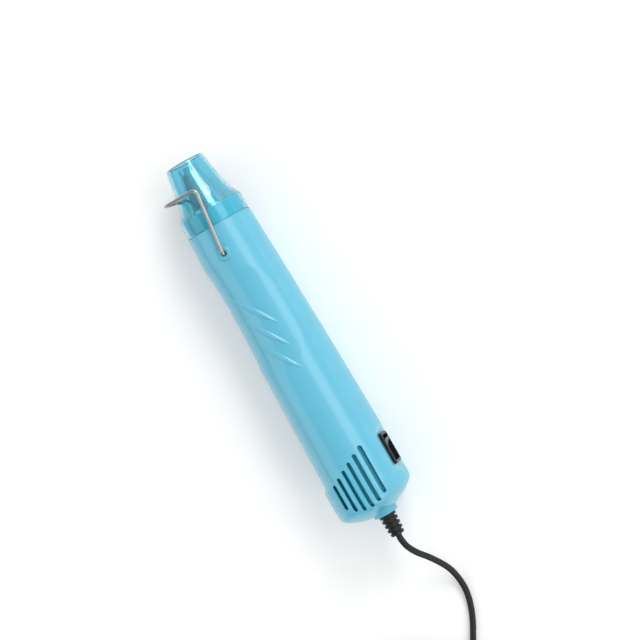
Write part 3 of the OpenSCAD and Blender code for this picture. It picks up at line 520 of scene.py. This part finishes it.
def triangulate(points, edges):
    """Constrained Delaunay: arrays of the domain's points and of its triangles."""
    found = geometry.delaunay_2d_cdt([Vector(p) for p in points], edges, [], 0, 1e-5, False)
    return np.array([tuple(p) for p in found[0]]), np.array(found[2])


flat_face = triangulate(*domain_points(False))
flat_back = triangulate(*domain_points(True))
print("domain:", len(flat_face[0]), "points,", len(flat_face[1]), "triangles")

# %% [markdown]
# Each domain point is cast to the outer skin and, one wall deeper, to the inner one. Near the
# slots the wall runs straight down instead of towards the axis, as the mould's pins leave it.


# %% The two shells
PINS_X, PINS_S = 15.5, 200.0


def shell_half(flat, wells):
    """Closed mesh of one moulded half: outer skin, inner skin, and the rim between them."""
    flat_uv, flat_tris = flat
    start, way = ray(flat_uv[:, 0], flat_uv[:, 1])
    outer = cast(start, way, 0)
    x, y, s = outer[:, flat_tris].mean(axis=2)
    hole = (vent_distance(x, s) < -0.01) | (np.hypot(x, s - PIVOT_S) < HOLE_R - 0.01)
    hole |= cut_distance(x, y, s) < -0.01
    if wells:
        hole |= well_distance(x, s) < -0.01
    tris = flat_tris[~hole]
    t = np.clip(np.maximum(np.abs(outer[0]) - PINS_X, np.maximum(PINS_S - outer[2], 0)) / 5, 0, 1)
    if wells:
        t = np.minimum(t, np.clip((well_distance(outer[0], outer[2]) - 0.6) / 3, 0, 1))
    straight = 1 - t * t * (3 - 2 * t)
    inward = -way * (1 - straight) + np.array([[0], [-1], [0]]) * straight
    inward /= np.linalg.norm(inward, axis=0)
    low, high = np.zeros(outer.shape[1]), np.full(outer.shape[1], 9.0)
    for _ in range(24):
        mid = (low + high) / 2
        shallow = skin_distance(*(outer + inward * mid), False) > -WALL
        low, high = np.where(shallow, mid, low), np.where(shallow, high, mid)
    inner = outer + inward * low
    inner[1] = np.maximum(inner[1], 0.1)
    ways = np.concatenate([tris[:, [0, 1]], tris[:, [1, 2]], tris[:, [2, 0]]])
    pairs = np.sort(ways, axis=1)
    _, first, times = np.unique(pairs, axis=0, return_index=True, return_counts=True)
    rim = ways[first[times == 1]]
    n = outer.shape[1]
    faces = tris.tolist() + (tris[:, ::-1] + n).tolist()
    faces += np.stack([rim[:, 1], rim[:, 0], rim[:, 0] + n, rim[:, 1] + n], axis=1).tolist()
    return place(*np.concatenate([outer, inner], axis=1)), faces


face_half, back_half = shell_half(flat_face, False), shell_half(flat_back, True)
print("half shells:", len(face_half[0]), "and", len(back_half[0]), "points")

# %% [markdown]
# The spigot that the guard slips over, the collar round the boot and the two pivot bosses are
# turned shapes, so their profiles are carried round an axis. They belong to the same mouldings.

# %% Casing pieces
COLLAR_OUT, GUARD_LEN = FRONT_R - 0.4, GUARD_CONE + GUARD_COLLAR
SPIGOT_R, SPIGOT_S = COLLAR_OUT - GUARD_WALL - 0.15, BODY_FRONT - GUARD_COLLAR + 0.5
SPIGOT_BORE = SPIGOT_R - 1.8
spigot = np.concatenate([
    arc((SPIGOT_R - 0.3, SPIGOT_S + 0.3), 0.3, 270, 360),
    [[SPIGOT_R, BODY_FRONT - 0.05], [FRONT_R - 0.6, BODY_FRONT + 0.02]],
    arc((FRONT_R - 0.42, BODY_FRONT + 0.4), 0.4, 270, 345),
    [[FRONT_R - 1.2, BODY_FRONT + 1.8], [SPIGOT_BORE, BODY_FRONT + WALL], [SPIGOT_BORE, SPIGOT_S]]])
skirt = np.concatenate([
    arc((SPIGOT_R - 0.25, SPIGOT_S + 0.3), 0.3, 270, 360),
    [[SPIGOT_R + 0.05, BODY_FRONT - 0.35], [SPIGOT_R - 0.25, BODY_FRONT - 0.35]]])
COLLAR_R = BOOT_R + 2.6
collar = np.concatenate([
    [[BOOT_R + 0.15, COLLAR_END - 5], [BOOT_R + 0.15, COLLAR_END - 0.3]],
    arc((COLLAR_R - 0.7, COLLAR_END - 0.7), 0.7, 90, 0), [[COLLAR_R, COLLAR_END - 2.0]],
    arc((COLLAR_R + 1.2, COLLAR_END - 2.0), 1.2, 180, 235, 5), [[COLLAR_R + 0.6, COLLAR_END - 5]]])
BOSS_R, BOSS_TOP, WIRE_R, PIVOT_FIT = 4.0, float(side_radius(PIVOT_S)) + 1.1, 1.0, 0.06
SCREW_SEAT, HEAD_R, HEAD_T = 9.0, 2.4, 1.8


def boss():
    """Pivot boss: a ring turned about the stand's pivot line, rounded at its rim and foot."""
    top, r, bore = BOSS_TOP, BOSS_R, WIRE_R + PIVOT_FIT
    profile = np.concatenate([
        [[bore, top - 6], [bore, top - 1.4], [HOLE_R - 0.05, top - 0.55]],
        arc((HOLE_R + 0.2, top - 0.25), 0.25, 180, 90, 4), arc((r - 0.5, top - 0.5), 0.5, 90, 0),
        arc((r + 0.5, top - 0.62), 0.5, 180, 250, 5), [[r + 0.6, top - 2.5], [r - 1, top - 6]]])
    angle = round_angles(64)
    x, s = profile[:, :1] * np.cos(angle), PIVOT_S - profile[:, :1] * np.sin(angle)
    return place(x, profile[:, 1:], s).reshape(-1, 3), grid_faces(*x.shape, wrap_rows=True)


def to_back(part):
    """Mirrors a part in the joint plane."""
    points, faces = part
    return points * [1, 1, -1] + [0, 0, 2 * AXIS_Z * MM], faces


def turned_half(profile, centre=(0.0, 0.0)):
    """Half a turned ring on the face's side of the joint line."""
    return revolve(profile, 72, centre, 0.004, math.pi - 0.008)


def screw_well(wx, ws):
    """Blind sleeve round a screw: its rim follows the skin, a little below it."""
    angle = round_angles(40)
    rows = []
    bore = WELL_R - 0.04
    for r, depth in ((WELL_OUT, None), (WELL_OUT, 0.4), (bore, 0.3), (bore, None)):
        x, s = wx + r * np.cos(angle), ws + r * np.sin(angle)
        if depth is None:
            y = np.full(40, SCREW_SEAT - (1.6 if r == WELL_OUT else 0))
        else:
            y = straight_up(x, s) - depth
        rows.append([x, y, s])
    return capped(place(*np.array(rows).transpose(1, 0, 2)))


common = [turned_half(spigot), turned_half(collar, (CORD_X, 0.0)), boss()]
make_piece("casing_face", [face_half] + common, "casing", aqua, ["face_shell"], 35)
back_parts = [back_half] + common + [screw_well(*well) for well in WELLS]
make_piece("casing_back", [to_back(part) for part in back_parts], "casing", aqua,
           ["rear_shell"], 35)
make_piece("guard_spigot", [revolve(skirt, 128)], "casing", aqua_painted_lit, crease=35)

# %% [markdown]
# The sleeve under the guard is the same aqua plastic, but its finish is brighter: painted light,
# standing in for the light that comes through the clear guard. The slots don't look black, because
# a strip of the same plastic stands behind each one, wider than its slot: air passes round it, a
# finger or a wire doesn't. Its finish is a darker aqua, painted shade. Each strip is the skin's own
# surface moved down, so it follows the swell of the side and the tail's corner.

# %% Strips behind the slots
STRIP_HALF, STRIP_DEPTH, STRIP_T, STRIP_BEND = 2.2, 3.3, 0.7, 0.08


def strip(vx, front, rear):
    """Strip under a slot, its top a fixed depth under the skin, bent down at both rims."""
    x, s = np.meshgrid(vx + np.linspace(-STRIP_HALF, STRIP_HALF, 9),
                       np.linspace(front - 1.5, rear + 1.2, 40))
    top = straight_up(x, s, False) - STRIP_DEPTH - STRIP_BEND * (x - vx) ** 2
    upper, lower = place(x, top, s), place(x, top - STRIP_T, s)
    return capped(np.concatenate([upper, lower[:, ::-1]], axis=1))


strips = [strip(*slot) for slot in zip(VENT_X, VENT_FRONT, VENT_REAR)]
make_piece("slot_baffles", strips + [to_back(part) for part in strips], "casing",
           aqua_shade, crease=35)

# %% [markdown]
# Four screws hold the back. Only their heads show, at the bottom of the wells: a low dome with a
# cross pressed into it, whose depth is a function of the distance to the nearer arm.

# %% Screws
CROSS_DEPTH, CROSS_HALF, CROSS_REACH, CROSS_SLOPE = 1.0, 0.27, 1.3, 0.16
CROWN, SEAT_GAP, SHANK_R, SHANK_LEN = 0.35, 0.05, 1.0, 16.0


def screw(wx, ws):
    """Head, cross and shank as rings about y, from the head's centre out and down to the tip."""
    r = np.concatenate([np.linspace(0.02, 1.5, 16), [1.7, 1.95, 2.15, 2.3, HEAD_R]])[:, None]
    cos, sin = np.cos(round_angles(64)), np.sin(round_angles(64))
    x, s = r * cos, r * sin
    near, far = np.minimum(np.abs(x), np.abs(s)), np.maximum(np.abs(x), np.abs(s))
    arm = np.maximum(near - CROSS_HALF, far - CROSS_REACH)
    cross = CROSS_DEPTH * np.clip(-arm / CROSS_SLOPE + 0.5, 0, 1)
    y = SEAT_GAP + HEAD_T - CROWN * (r / HEAD_R) ** 4 - cross
    for below_r, below_y in ((HEAD_R, SEAT_GAP), (SHANK_R, SEAT_GAP), (SHANK_R, -SHANK_LEN),
                             (0.02, -SHANK_LEN - 1)):
        x, s = np.vstack([x, below_r * cos]), np.vstack([s, below_r * sin])
        y = np.vstack([y, np.full(64, below_y)])
    return capped(place(x + wx, y + SCREW_SEAT, s + ws))


make_piece("screws", [to_back(screw(*well)) for well in WELLS], "casing", wire_steel,
           ["case_screws"], 30)

# %% [markdown]
# ## Guard and steel nozzle
# The guard is a thin moulding of clear teal plastic: a cone that flares into a collar. Inside it
# the nozzle is spun from polished steel. Both are profiles turned about the axis.


# %% Guard and nozzle
def guard_radius(s):
    """The guard's cone: a straight taper, and a steep power of s that flares into the collar."""
    t = np.clip(s / GUARD_CONE, 0, 1)
    return GUARD_TIP_R + GUARD_TAPER * t + (COLLAR_OUT - GUARD_TIP_R - GUARD_TAPER) * t ** 6.3


s_line = np.linspace(0.7, GUARD_LEN - 0.4, 60)
outside = np.stack([guard_radius(s_line), s_line], axis=1)
rim, foot = GUARD_TIP_R - GUARD_WALL / 2, GUARD_LEN - 0.05
guard_profile = np.concatenate([
    arc((rim + 0.05, 0.8), GUARD_WALL / 2 - 0.1, 180, 360, 12), outside,
    [[COLLAR_OUT - 0.25, foot], [COLLAR_OUT - GUARD_WALL + 0.1, foot]],
    outside[::-1] - [GUARD_WALL, 0]])
make_piece("guard", [revolve(guard_profile, 128)], "casing", teal_clear,
           ["nozzle_guard"], 50)

BARREL_R, BARREL_IN, CONE_END, MOUTH_R, MOUTH_S = 12.8, 12.2, 31.0, 5.8, 3.5
FLANGE_R, FLANGE_S, BARREL_END = 16.5, 103.0, 104.0
barrel_profile = np.concatenate([
    arc((MOUTH_R + 0.3, MOUTH_S + 0.3), 0.3, 180, 360, 9),
    np.linspace([MOUTH_R + 0.6, MOUTH_S + 3.2], [BARREL_R, CONE_END], 24),
    [[BARREL_R, CONE_END + 0.4], [BARREL_R, FLANGE_S], [FLANGE_R, FLANGE_S], [FLANGE_R, BARREL_END],
     [BARREL_IN, BARREL_END], [BARREL_IN, CONE_END + 0.4]],
    np.linspace([BARREL_IN, CONE_END], [MOUTH_R, MOUTH_S + 3.0], 24)])
make_piece("steel_nozzle", [revolve(barrel_profile, 128)], "casing", steel,
           ["nozzle_barrel"], 30)

# %% [markdown]
# ## Wire stand
# One length of round wire is bent into a U, and its ends turn into the bosses. The path is made
# of straights and true arcs; a ring of points carried along it, turned as little as possible
# from one place to the next, gives a wire with no twist.


# %% Paths and sweeps
BEND_STEP = 0.35


def bent_path(corners, radii):
    """Straights joined by arcs: each corner is cut back by r tan(turn / 2) and rounded."""
    corners = np.asarray(corners, float)
    pieces = [corners[:1]]
    for i, r in enumerate(radii, start=1):
        before = corners[i - 1] - corners[i]
        after = corners[i + 1] - corners[i]
        before, after = before / np.linalg.norm(before), after / np.linalg.norm(after)
        turn = math.pi - math.acos(float(np.clip(before @ after, -1, 1)))
        cut = r * math.tan(turn / 2)
        middle = before + after
        centre = corners[i] + middle / np.linalg.norm(middle) * r / math.cos(turn / 2)
        a, b = corners[i] + before * cut - centre, corners[i] + after * cut - centre
        t = np.linspace(0, 1, max(4, int(r * turn / BEND_STEP)))[:, None]
        pieces.append(centre + (np.sin((1 - t) * turn) * a + np.sin(t * turn) * b) / math.sin(turn))
    pieces.append(corners[-1:])
    return np.concatenate(pieces)


def sweep(path, section):
    """Carries a closed section (across, over) along a path with the least twist, ends capped."""
    ahead = np.gradient(path, axis=0)
    ahead /= np.linalg.norm(ahead, axis=1)[:, None]
    side = np.zeros_like(path)
    first = np.cross(ahead[0], [0.0, 0.0, 1.0] if abs(ahead[0][2]) < 0.9 else [0.0, 1.0, 0.0])
    side[0] = first / np.linalg.norm(first)
    for i in range(1, len(path)):
        v = side[i - 1] - ahead[i] * (side[i - 1] @ ahead[i])
        side[i] = v / np.linalg.norm(v)
    over = np.cross(ahead, side)
    return capped(path[:, None] + section[:, :1] * side[:, None] + section[:, 1:] * over[:, None])


def circle(radius, sides):
    """Points of a circle, for a section."""
    a = round_angles(sides)
    return np.stack([radius * np.cos(a), radius * np.sin(a)], axis=1)


PIN_END, LEG_Y, LEG_X = BOSS_TOP - 8, BOSS_TOP + 1.4, 5
PIN_BEND, FRAME_BEND = 1.6, 3
BAR_S = 19.2
BAR_X = -(float(guard_radius(BAR_S)) + 1.85)
half_stand = [(0, PIN_END, PIVOT_S), (0, LEG_Y, PIVOT_S), (LEG_X, LEG_Y, BAR_S), (BAR_X, LEG_Y, BAR_S)]
stand_corners = half_stand + [(x, -y, s) for x, y, s in half_stand[::-1]]
tool_path = bent_path(stand_corners, [PIN_BEND] + [FRAME_BEND] * 4 + [PIN_BEND])
make_piece("wire_bracket", [sweep(place(*tool_path.T), circle(WIRE_R * MM, 20))], "stand",
           wire_steel, ["wire_stand"], 60)

# %% [markdown]
# ## Switch
# A black rocker with a hollowed thumb face sits in a flanged housing. The flange is a rounded
# rectangle carried through a profile of offsets and heights; the rocker is its side outline
# carried across its width, drawn in a little at both ends so that its edges are rounded.

# %% Switch pieces
WELL, FLANGE = (17.2, 11.8, 0.8), (21.0, 15.0, 2.2)
FRAME_STEPS = [(WELL, 0.6, -10.0), (WELL, 0.6, 0.0), (FLANGE, 0.0, 0.0), (FLANGE, 0.0, 1.3),
               (FLANGE, -0.2, 1.8), (FLANGE, -0.7, 2.0), (WELL, 0.15, 2.0), (WELL, 0.0, 1.85),
               (WELL, 0.0, -9.4)]
ROCKER_HALF, ROCKER_TURN, ROCKER_X = 7.5, math.radians(10), PAD_X - 4.3
ROCKER_TOP, ROCKER_HOLLOW, ROCKER_BELLY, FRAME_GAP = 4.55, 1.35, 4.2, 0.06
ROCKER_EDGE = [(5.7, 0.5), (5.62, 0.25), (5.45, 0.08), (5.2, 0.0)]


def round_rectangle(length, width, r, per_corner=8):
    """Outline of a rectangle with rounded corners, as an array of (s, y)."""
    a = np.linspace(0, math.pi / 2, per_corner)
    corners = []
    for k, (sx, sy) in enumerate([(1, 1), (-1, 1), (-1, -1), (1, -1)]):
        t = a + k * math.pi / 2
        corners.append([sx * (length / 2 - r) + r * np.cos(t), sy * (width / 2 - r) + r * np.sin(t)])
    return np.concatenate(corners, axis=1).T


def switch_frame():
    """Well and flange of the housing: outlines, how far each has grown, its height on the flat."""
    rings = []
    for (length, width, r), grow, height in FRAME_STEPS:
        s, y = round_rectangle(length + 2 * grow, width + 2 * grow, r + grow).T
        rings.append(place(PAD_X + FRAME_GAP + height, y, SWITCH_S + s))
    return capped(np.array(rings))


def rocker_shape():
    """Side outline in (out, along), hollowed on top by a parabola, carried across the width."""
    h = ROCKER_HALF
    top_s = np.linspace(-h + 0.5, h - 0.5, 25)
    top = np.stack([ROCKER_TOP + ROCKER_HOLLOW * (top_s / h) ** 2, top_s], axis=1)
    low_a = np.linspace(math.pi / 2, -math.pi / 2, 17)
    low = np.stack([-ROCKER_BELLY * np.cos(low_a), h * 0.98 * np.sin(low_a)], axis=1)
    outline = np.concatenate([top, [[5.55, h - 0.12], [5.2, h]], low, [[5.2, -h], [5.55, -h + 0.12]]])
    away = outline - outline.mean(axis=0)
    away /= np.linalg.norm(away, axis=1)[:, None]
    cos, sin = math.cos(ROCKER_TURN), math.sin(ROCKER_TURN)
    rings = []
    for y, inset in [(-y, inset) for y, inset in ROCKER_EDGE] + ROCKER_EDGE[::-1]:
        out, s = (outline - away * inset).T
        rings.append(place(ROCKER_X + out * cos - s * sin, y, SWITCH_S + out * sin + s * cos))
    return capped(np.array(rings))


make_piece("switch_bezel", [switch_frame()], "casing", black_plastic,
           ["switch_housing"], 35)
make_piece("rocker_button", [rocker_shape()], "rocker", black_plastic, ["rocker"], 40)

# %% [markdown]
# ## Boot, cord, coil and plug
# The boot is a turned, ribbed taper. The cord is one smooth tube: it leaves the boot, sags to
# the table, runs out of the photograph, is wound into a coil of four layers, and ends in a
# two-pin plug that lies on the coil.

# %% Boot
BOOT_RIBS, BOOT_SHRINK = 4, 0.18


def boot_profile():
    """Neck, then ribs: each groove is cut 1.3 deep with rounded edges, and the ribs shrink."""
    bore, pitch = CORD_R + 0.05, (BOOT_LEN - 2) / BOOT_RIBS
    rib = [(0, 0.15), (0, 1.55), (0.12, 1.75), (0.5, 1.85), (1.25, 1.95), (1.3, 2.4),
           (1.3, pitch - 0.15), (0.4, pitch - 0.05), (0.2, pitch)]
    rows = [[bore, COLLAR_END - 5], [BOOT_R - 0.1, COLLAR_END - 5], [BOOT_R, COLLAR_END + 0.1]]
    for i in range(BOOT_RIBS):
        r, s = BOOT_R - BOOT_SHRINK * i, COLLAR_END + 0.1 + i * pitch
        rows += [[r - depth, s + run] for depth, run in rib]
    rows += [[4.6, BOOT_END - 1.8], [4.3, BOOT_END - 0.4], [3.9, BOOT_END - 0.05],
             [bore, BOOT_END - 0.05]]
    return np.array(rows)


make_piece("cord_boot", [revolve(boot_profile(), 72, (CORD_X, 0.0))], "casing",
           black_rubber, ["strain_relief"], 40)

# %% [markdown]
# A cord is a fixed length of something flexible, so its line comes first: the CAD's own points,
# joined by a smooth curve where it runs free, and by a formula where it is wound. The line is
# then given its round skin by the same sweep as the wire.

# %% The cord's line
ROUTE = [[1, -131.5, 26], [1, -135.5, 26], [2, -141, 25], [4.5, -147, 22], [8, -153, 17.5],
         [11, -159.5, 12.5], [13.5, -166.5, 8], [14.5, -174, 4.7], [14.5, -182, 2.8],
         [13, -190, 2.1], [10.5, -197.5, 2.1], [7, -205, 2.1], [3, -212, 2.1],
         [-0.5, -219.5, 2.3], [-3, -227, 2.7], [-4, -233, 3], [-4, -236, 3]]
LEAD = [[-38, -211.4, 17.3], [-32.5, -211.4, 19.6], [-27.3, -213.3, 22.8], [-23, -217, 25.8],
        [-20.3, -221.7, 28], [-19.5, -227, 29], [-19.5, -231.5, 29]]
COIL_OUT, COIL_IN, COIL_PITCH, COIL_TURNS, COIL_LAYERS = 28.5, 16.5, 4.5, 8 / 3, 4
COIL_STEPS = 48


def coil_line():
    """Layers that spiral in and out by a pitch a turn; each climbs a pitch in an eased half turn."""
    layer_turn = 2 * math.pi * COIL_TURNS
    a = np.linspace(0, layer_turn * COIL_LAYERS, round(COIL_STEPS * COIL_TURNS * COIL_LAYERS) + 1)
    layer = np.minimum(np.floor(a / layer_turn + 1e-9), COIL_LAYERS - 1)
    run = COIL_PITCH * (a - layer * layer_turn) / (2 * math.pi)
    r = np.where(layer % 2 == 0, COIL_OUT - run, COIL_IN + run)
    climb = [np.clip((a - k * layer_turn) / math.pi + 0.5, 0, 1) for k in range(1, COIL_LAYERS)]
    z = ROUTE[-1][2] + COIL_PITCH * sum(t * t * (3 - 2 * t) for t in climb)
    x, y = ROUTE[-1][0] - COIL_OUT + r * np.cos(a), ROUTE[-1][1] - 2 * CORD_R - r * np.sin(a)
    end = np.array([x[-1], y[-1], z[-1]])
    away = np.array([-math.sin(a[-1]), -math.cos(a[-1]), 0])
    return np.concatenate([np.stack([x, y, z], axis=1), [end + 4 * away, end + 6.5 * away]])


def smooth_line(points, steps=6):
    """Catmull-Rom: each stretch is the cubic whose slopes come from the points on either side."""
    p = np.concatenate([[2 * points[0] - points[1]], points, [2 * points[-1] - points[-2]]])
    t = np.linspace(0, 1, steps, endpoint=False)[None, :, None]
    a, b, c, d = (p[i:len(p) - 3 + i, None] for i in range(4))
    square, cube = 2 * a - 5 * b + 4 * c - d, 3 * b - 3 * c + d - a
    line = 0.5 * (2 * b + (c - a) * t + square * t ** 2 + cube * t ** 3)
    return np.concatenate([line.reshape(-1, 3), p[-2:-1]])


wound = coil_line()
free = smooth_line(np.concatenate([ROUTE, wound[:2]]))
lead = smooth_line(np.concatenate([wound[-3:], LEAD]), 5)
cord_line = np.concatenate([free[:-1], wound[1:-3], lead]) * MM

# %% [markdown]
# The plug is a moulding that swells from the cord to its face. Its cross-section is a
# superellipse, and shallow grooves round its waist give the fingers a hold. Two flat blades
# stand in the face, turned apart like the hands of a clock.

# %% Plug, blades and tie
PLUG_LEN, PLUG_W, PLUG_T, PLUG_EDGE = 36.0, 26.0, 20.0, 1.6
WAIST_FROM, WAIST_TO, GROOVE_PITCH, GROOVE_DEPTH = 11, 27, 2.6, 0.45
PIN_LEN, PIN_T, PIN_W, PIN_OFF, PIN_TURN, PIN_ROOT = 17.0, 1.6, 6.3, 7, math.radians(30), 0.4
TIE_TURN, TIE_GAP = math.radians(200), 0.4
plug_x, plug_y, plug_z = LEAD[-1][0], LEAD[-1][1] - PLUG_LEN, LEAD[-1][2]


def plug_half(a, width):
    """Half width at a distance from the face, eased by half a cosine from grip to cord."""
    t = np.clip((a - 8) / (PLUG_LEN - 16), 0, 1)
    return CORD_R + 2.2 + (width / 2 - CORD_R - 2.2) * (0.5 + 0.5 * np.cos(math.pi * t))


def plug_shape():
    """Superellipse sections along the plug, their power eased from 3.2 at the face to 2."""
    quarter = np.linspace(0, math.pi / 2, 7)
    a = np.concatenate([PLUG_EDGE * (1 - np.cos(quarter)), np.linspace(1.9, PLUG_LEN - 0.8, 80),
                        [PLUG_LEN - 0.3, PLUG_LEN]])
    shrink = np.concatenate([PLUG_EDGE * (1 - np.sin(quarter)), np.zeros(80), [0.25, 1.0]])
    waist = np.clip((a - WAIST_FROM) / 2, 0, 1) * np.clip((WAIST_TO - a) / 2, 0, 1)
    wave = 0.5 - 0.5 * np.cos(2 * math.pi * (a - WAIST_FROM) / GROOVE_PITCH)
    groove = GROOVE_DEPTH * waist * wave
    cos, sin = np.cos(round_angles(64)), np.sin(round_angles(64))
    power = (2 + 1.2 * np.clip((22 - a) / 10, 0, 1))[:, None]
    r = (np.abs(cos) ** power + np.abs(sin) ** power) ** (-1 / power)
    half_w, half_t = ((plug_half(a, size) - shrink - groove)[:, None] for size in (PLUG_W, PLUG_T))
    x, z = plug_x + half_w * r * cos, plug_z + half_t * r * sin
    return capped(np.stack([x, plug_y + a[:, None] + 0 * r, z], axis=-1) * MM)


def blade(side):
    """Flat blade with a bevelled end, turned about the plug's own axis."""
    outline = round_rectangle(PIN_T, PIN_W, 0.3, 4)
    cos, sin = math.cos(PIN_TURN * side), math.sin(PIN_TURN * side)
    rings = []
    for way, inset in [(0.0, 0.3), (0.25, 0), (0.5, 0), (0.75, 0), (0.92, 0), (0.97, 0.18), (1.0, 0.45)]:
        thick, wide = (outline * [1 - 2 * inset / PIN_T, 1 - 2 * inset / PIN_W]).T
        x, z = thick * cos + wide * sin + side * PIN_OFF, -thick * sin + wide * cos
        y = PIN_ROOT - (PIN_LEN + PIN_ROOT) * way
        rings.append(np.stack([plug_x + x, plug_y + y + 0 * x, plug_z + z], axis=1))
    return capped(np.array(rings) * MM)


def on_coil(out, up, wide, base):
    """Points of the tie: out along a radius of the coil, up from base, and wide along the turns."""
    centre = np.array([ROUTE[-1][0] - COIL_OUT, ROUTE[-1][1] - 2 * CORD_R, base])
    radial = np.array([math.cos(TIE_TURN), math.sin(TIE_TURN), 0])
    around = np.array([-math.sin(TIE_TURN), math.cos(TIE_TURN), 0])
    return (centre + out[:, None] * radial + up[:, None] * [0, 0, 1] + wide * around) * MM


def tie_shape():
    """A flat band carried round the bundle; its overlap lies on top and tapers to nothing."""
    span = COIL_OUT - COIL_IN + 2 * (CORD_R + TIE_GAP)
    height = COIL_PITCH * (COIL_LAYERS - 1) + 2 * (CORD_R + TIE_GAP)
    middle, base = COIL_IN - CORD_R - TIE_GAP + span / 2, ROUTE[-1][2] - CORD_R - TIE_GAP + height / 2
    loop = round_rectangle(span + 0.5, height + 0.5, 2.5, 10)
    rings = []
    for wide, lift in ((-2, 0.12), (-1.85, 0.24), (1.85, 0.24), (2, 0.12), (2, -0.12), (1.85, -0.22),
                       (-1.85, -0.22), (-2, -0.12)):
        out, up = (loop * (1 + lift / np.array([span / 2, height / 2]))).T
        rings.append(on_coil(middle + out, up, wide, base))
    rings = np.array(rings)
    band = rings.reshape(-1, 3), grid_faces(*rings.shape[:2], wrap_rows=True)
    out = np.linspace(-6.2, 5.0, 24)
    thick = 0.5 * np.clip((out - out[0]) / 0.8, 0.1, 1)
    flap = [on_coil(middle + out, height / 2 + 0.4 + thick * upper, wide, base)
            for wide, upper in ((-2, 0), (-2, 0.85), (-1.8, 1), (1.8, 1), (2, 0.85), (2, 0))]
    return [band, capped(np.array(flap).transpose(1, 0, 2))]


plug = make_piece("plug", [plug_shape()], "casing", black_rubber, ["plug_body"], 40)
blades = make_piece("plug_blades", [blade(-1), blade(1)], "casing", brass,
                    ["plug_pins"], 30)
tie = make_piece("coil_tie", tie_shape(), "casing", dark_part, ["cord_tie"], 40)

# %% [markdown]
# The cord's skin is the sweep of a circle.

# %% The cord
cord = make_piece("mains_cord", [sweep(cord_line, circle(CORD_R * MM, 16))], "casing",
                  black_rubber, ["power_cord", "cord_coil", "plug_lead"], 60)

# %% [markdown]
# ## Floor, light and background
# A plain pale floor takes the shadow. Four soft lamps light the tool at the level where a colour
# shows as it is written; the world is brighter only to the eye and in reflections.

# %% Floor and light
AIM = Vector((0, 0, 0.02))
LAMPS = {"key_light": ((0.95, 0.9, 0.95), 0.6, 9), "side_light": ((1.15, 0.0, 1.15), 0.8, 4),
         "tail_light": ((0.5, -1.1, 0.7), 0.7, 3.5), "fill_light": ((-1.1, 0.1, 0.8), 1.0, 3.2)}
LIGHTING_LEVEL = 0.52


def seen_rays(tree):
    """1 for the rays by which the eye, a gloss or a clear wall sees a surface, 0 for lighting."""
    path = node(tree, "LightPath", {})
    seen = path["Is Camera Ray"]
    for other in ("Is Glossy Ray", "Is Transmission Ray"):
        seen = node(tree, "Math", {0: seen, 1: path[other]}, operation="MAXIMUM")[0]
    return seen


pale = finish("pale_floor", (0.84, 0.84, 0.84), 0.8)
tree = pale.node_tree
shader, seen = tree.nodes["Principled BSDF"], seen_rays(tree)
tint = shader.inputs["Base Color"].links[0].from_socket
whiter = node(tree, "Mix", {"Factor": seen, "A": tint, "B": (1, 1, 1, 1)}, data_type="RGBA")["Result"]
coords = node(tree, "TexCoord", {})["Object"]
from_tool = node(tree, "VectorMath", {0: coords}, operation="LENGTH")["Value"]
far = node(tree, "MapRange", {"Value": from_tool, "From Min": 0.25, "From Max": 0.9, "To Min": 0.12},
           interpolation_type="SMOOTHSTEP")["Result"]
glow = node(tree, "Math", {0: far, 1: seen}, operation="MULTIPLY")[0]
feed(tree, shader, {"Base Color": whiter, "Emission Color": (1, 1, 1, 1), "Emission Strength": glow})
floor_mesh = bpy.data.meshes.new("floor")
floor_mesh.from_pydata([(-3, -3, 0), (3, -3, 0), (3, 3, 0), (-3, 3, 0)], [], [(0, 1, 2, 3)])
floor_mesh.materials.append(pale)
floor = bpy.data.objects.new("floor", floor_mesh)
bpy.context.scene.collection.objects.link(floor)

for name, (where, size, watts) in LAMPS.items():
    lamp = bpy.data.lights.new(name, "AREA")
    lamp.shape, lamp.size, lamp.energy = "SQUARE", size, watts
    box = bpy.data.objects.new(name, lamp)
    facing = (Vector(where) - AIM).to_track_quat("Z", "Y").to_matrix().to_4x4()
    box.matrix_world = Matrix.Translation(where) @ facing
    bpy.context.scene.collection.objects.link(box)

world = bpy.data.worlds.new("studio")
bpy.context.scene.world = world
world.use_nodes = True
tree = world.node_tree
side = node(tree, "SeparateXYZ", {"Vector": node(tree, "TexCoord", {})["Generated"]})["X"]
wall = node(tree, "MapRange", {"Value": side, "From Min": -0.6, "From Max": 0.5, "To Min": 0.4})
gloss = node(tree, "LightPath", {})["Is Glossy Ray"]
glossy = node(tree, "Mix", {"Factor": gloss, "A": 1.0, "B": wall["Result"]})["Result"]
level = node(tree, "Mix", {"Factor": seen_rays(tree), "A": LIGHTING_LEVEL, "B": glossy})["Result"]
feed(tree, tree.nodes["Background"], {"Color": (1, 1, 1, 1), "Strength": level})
bpy.context.scene.view_settings.view_transform = "Standard"
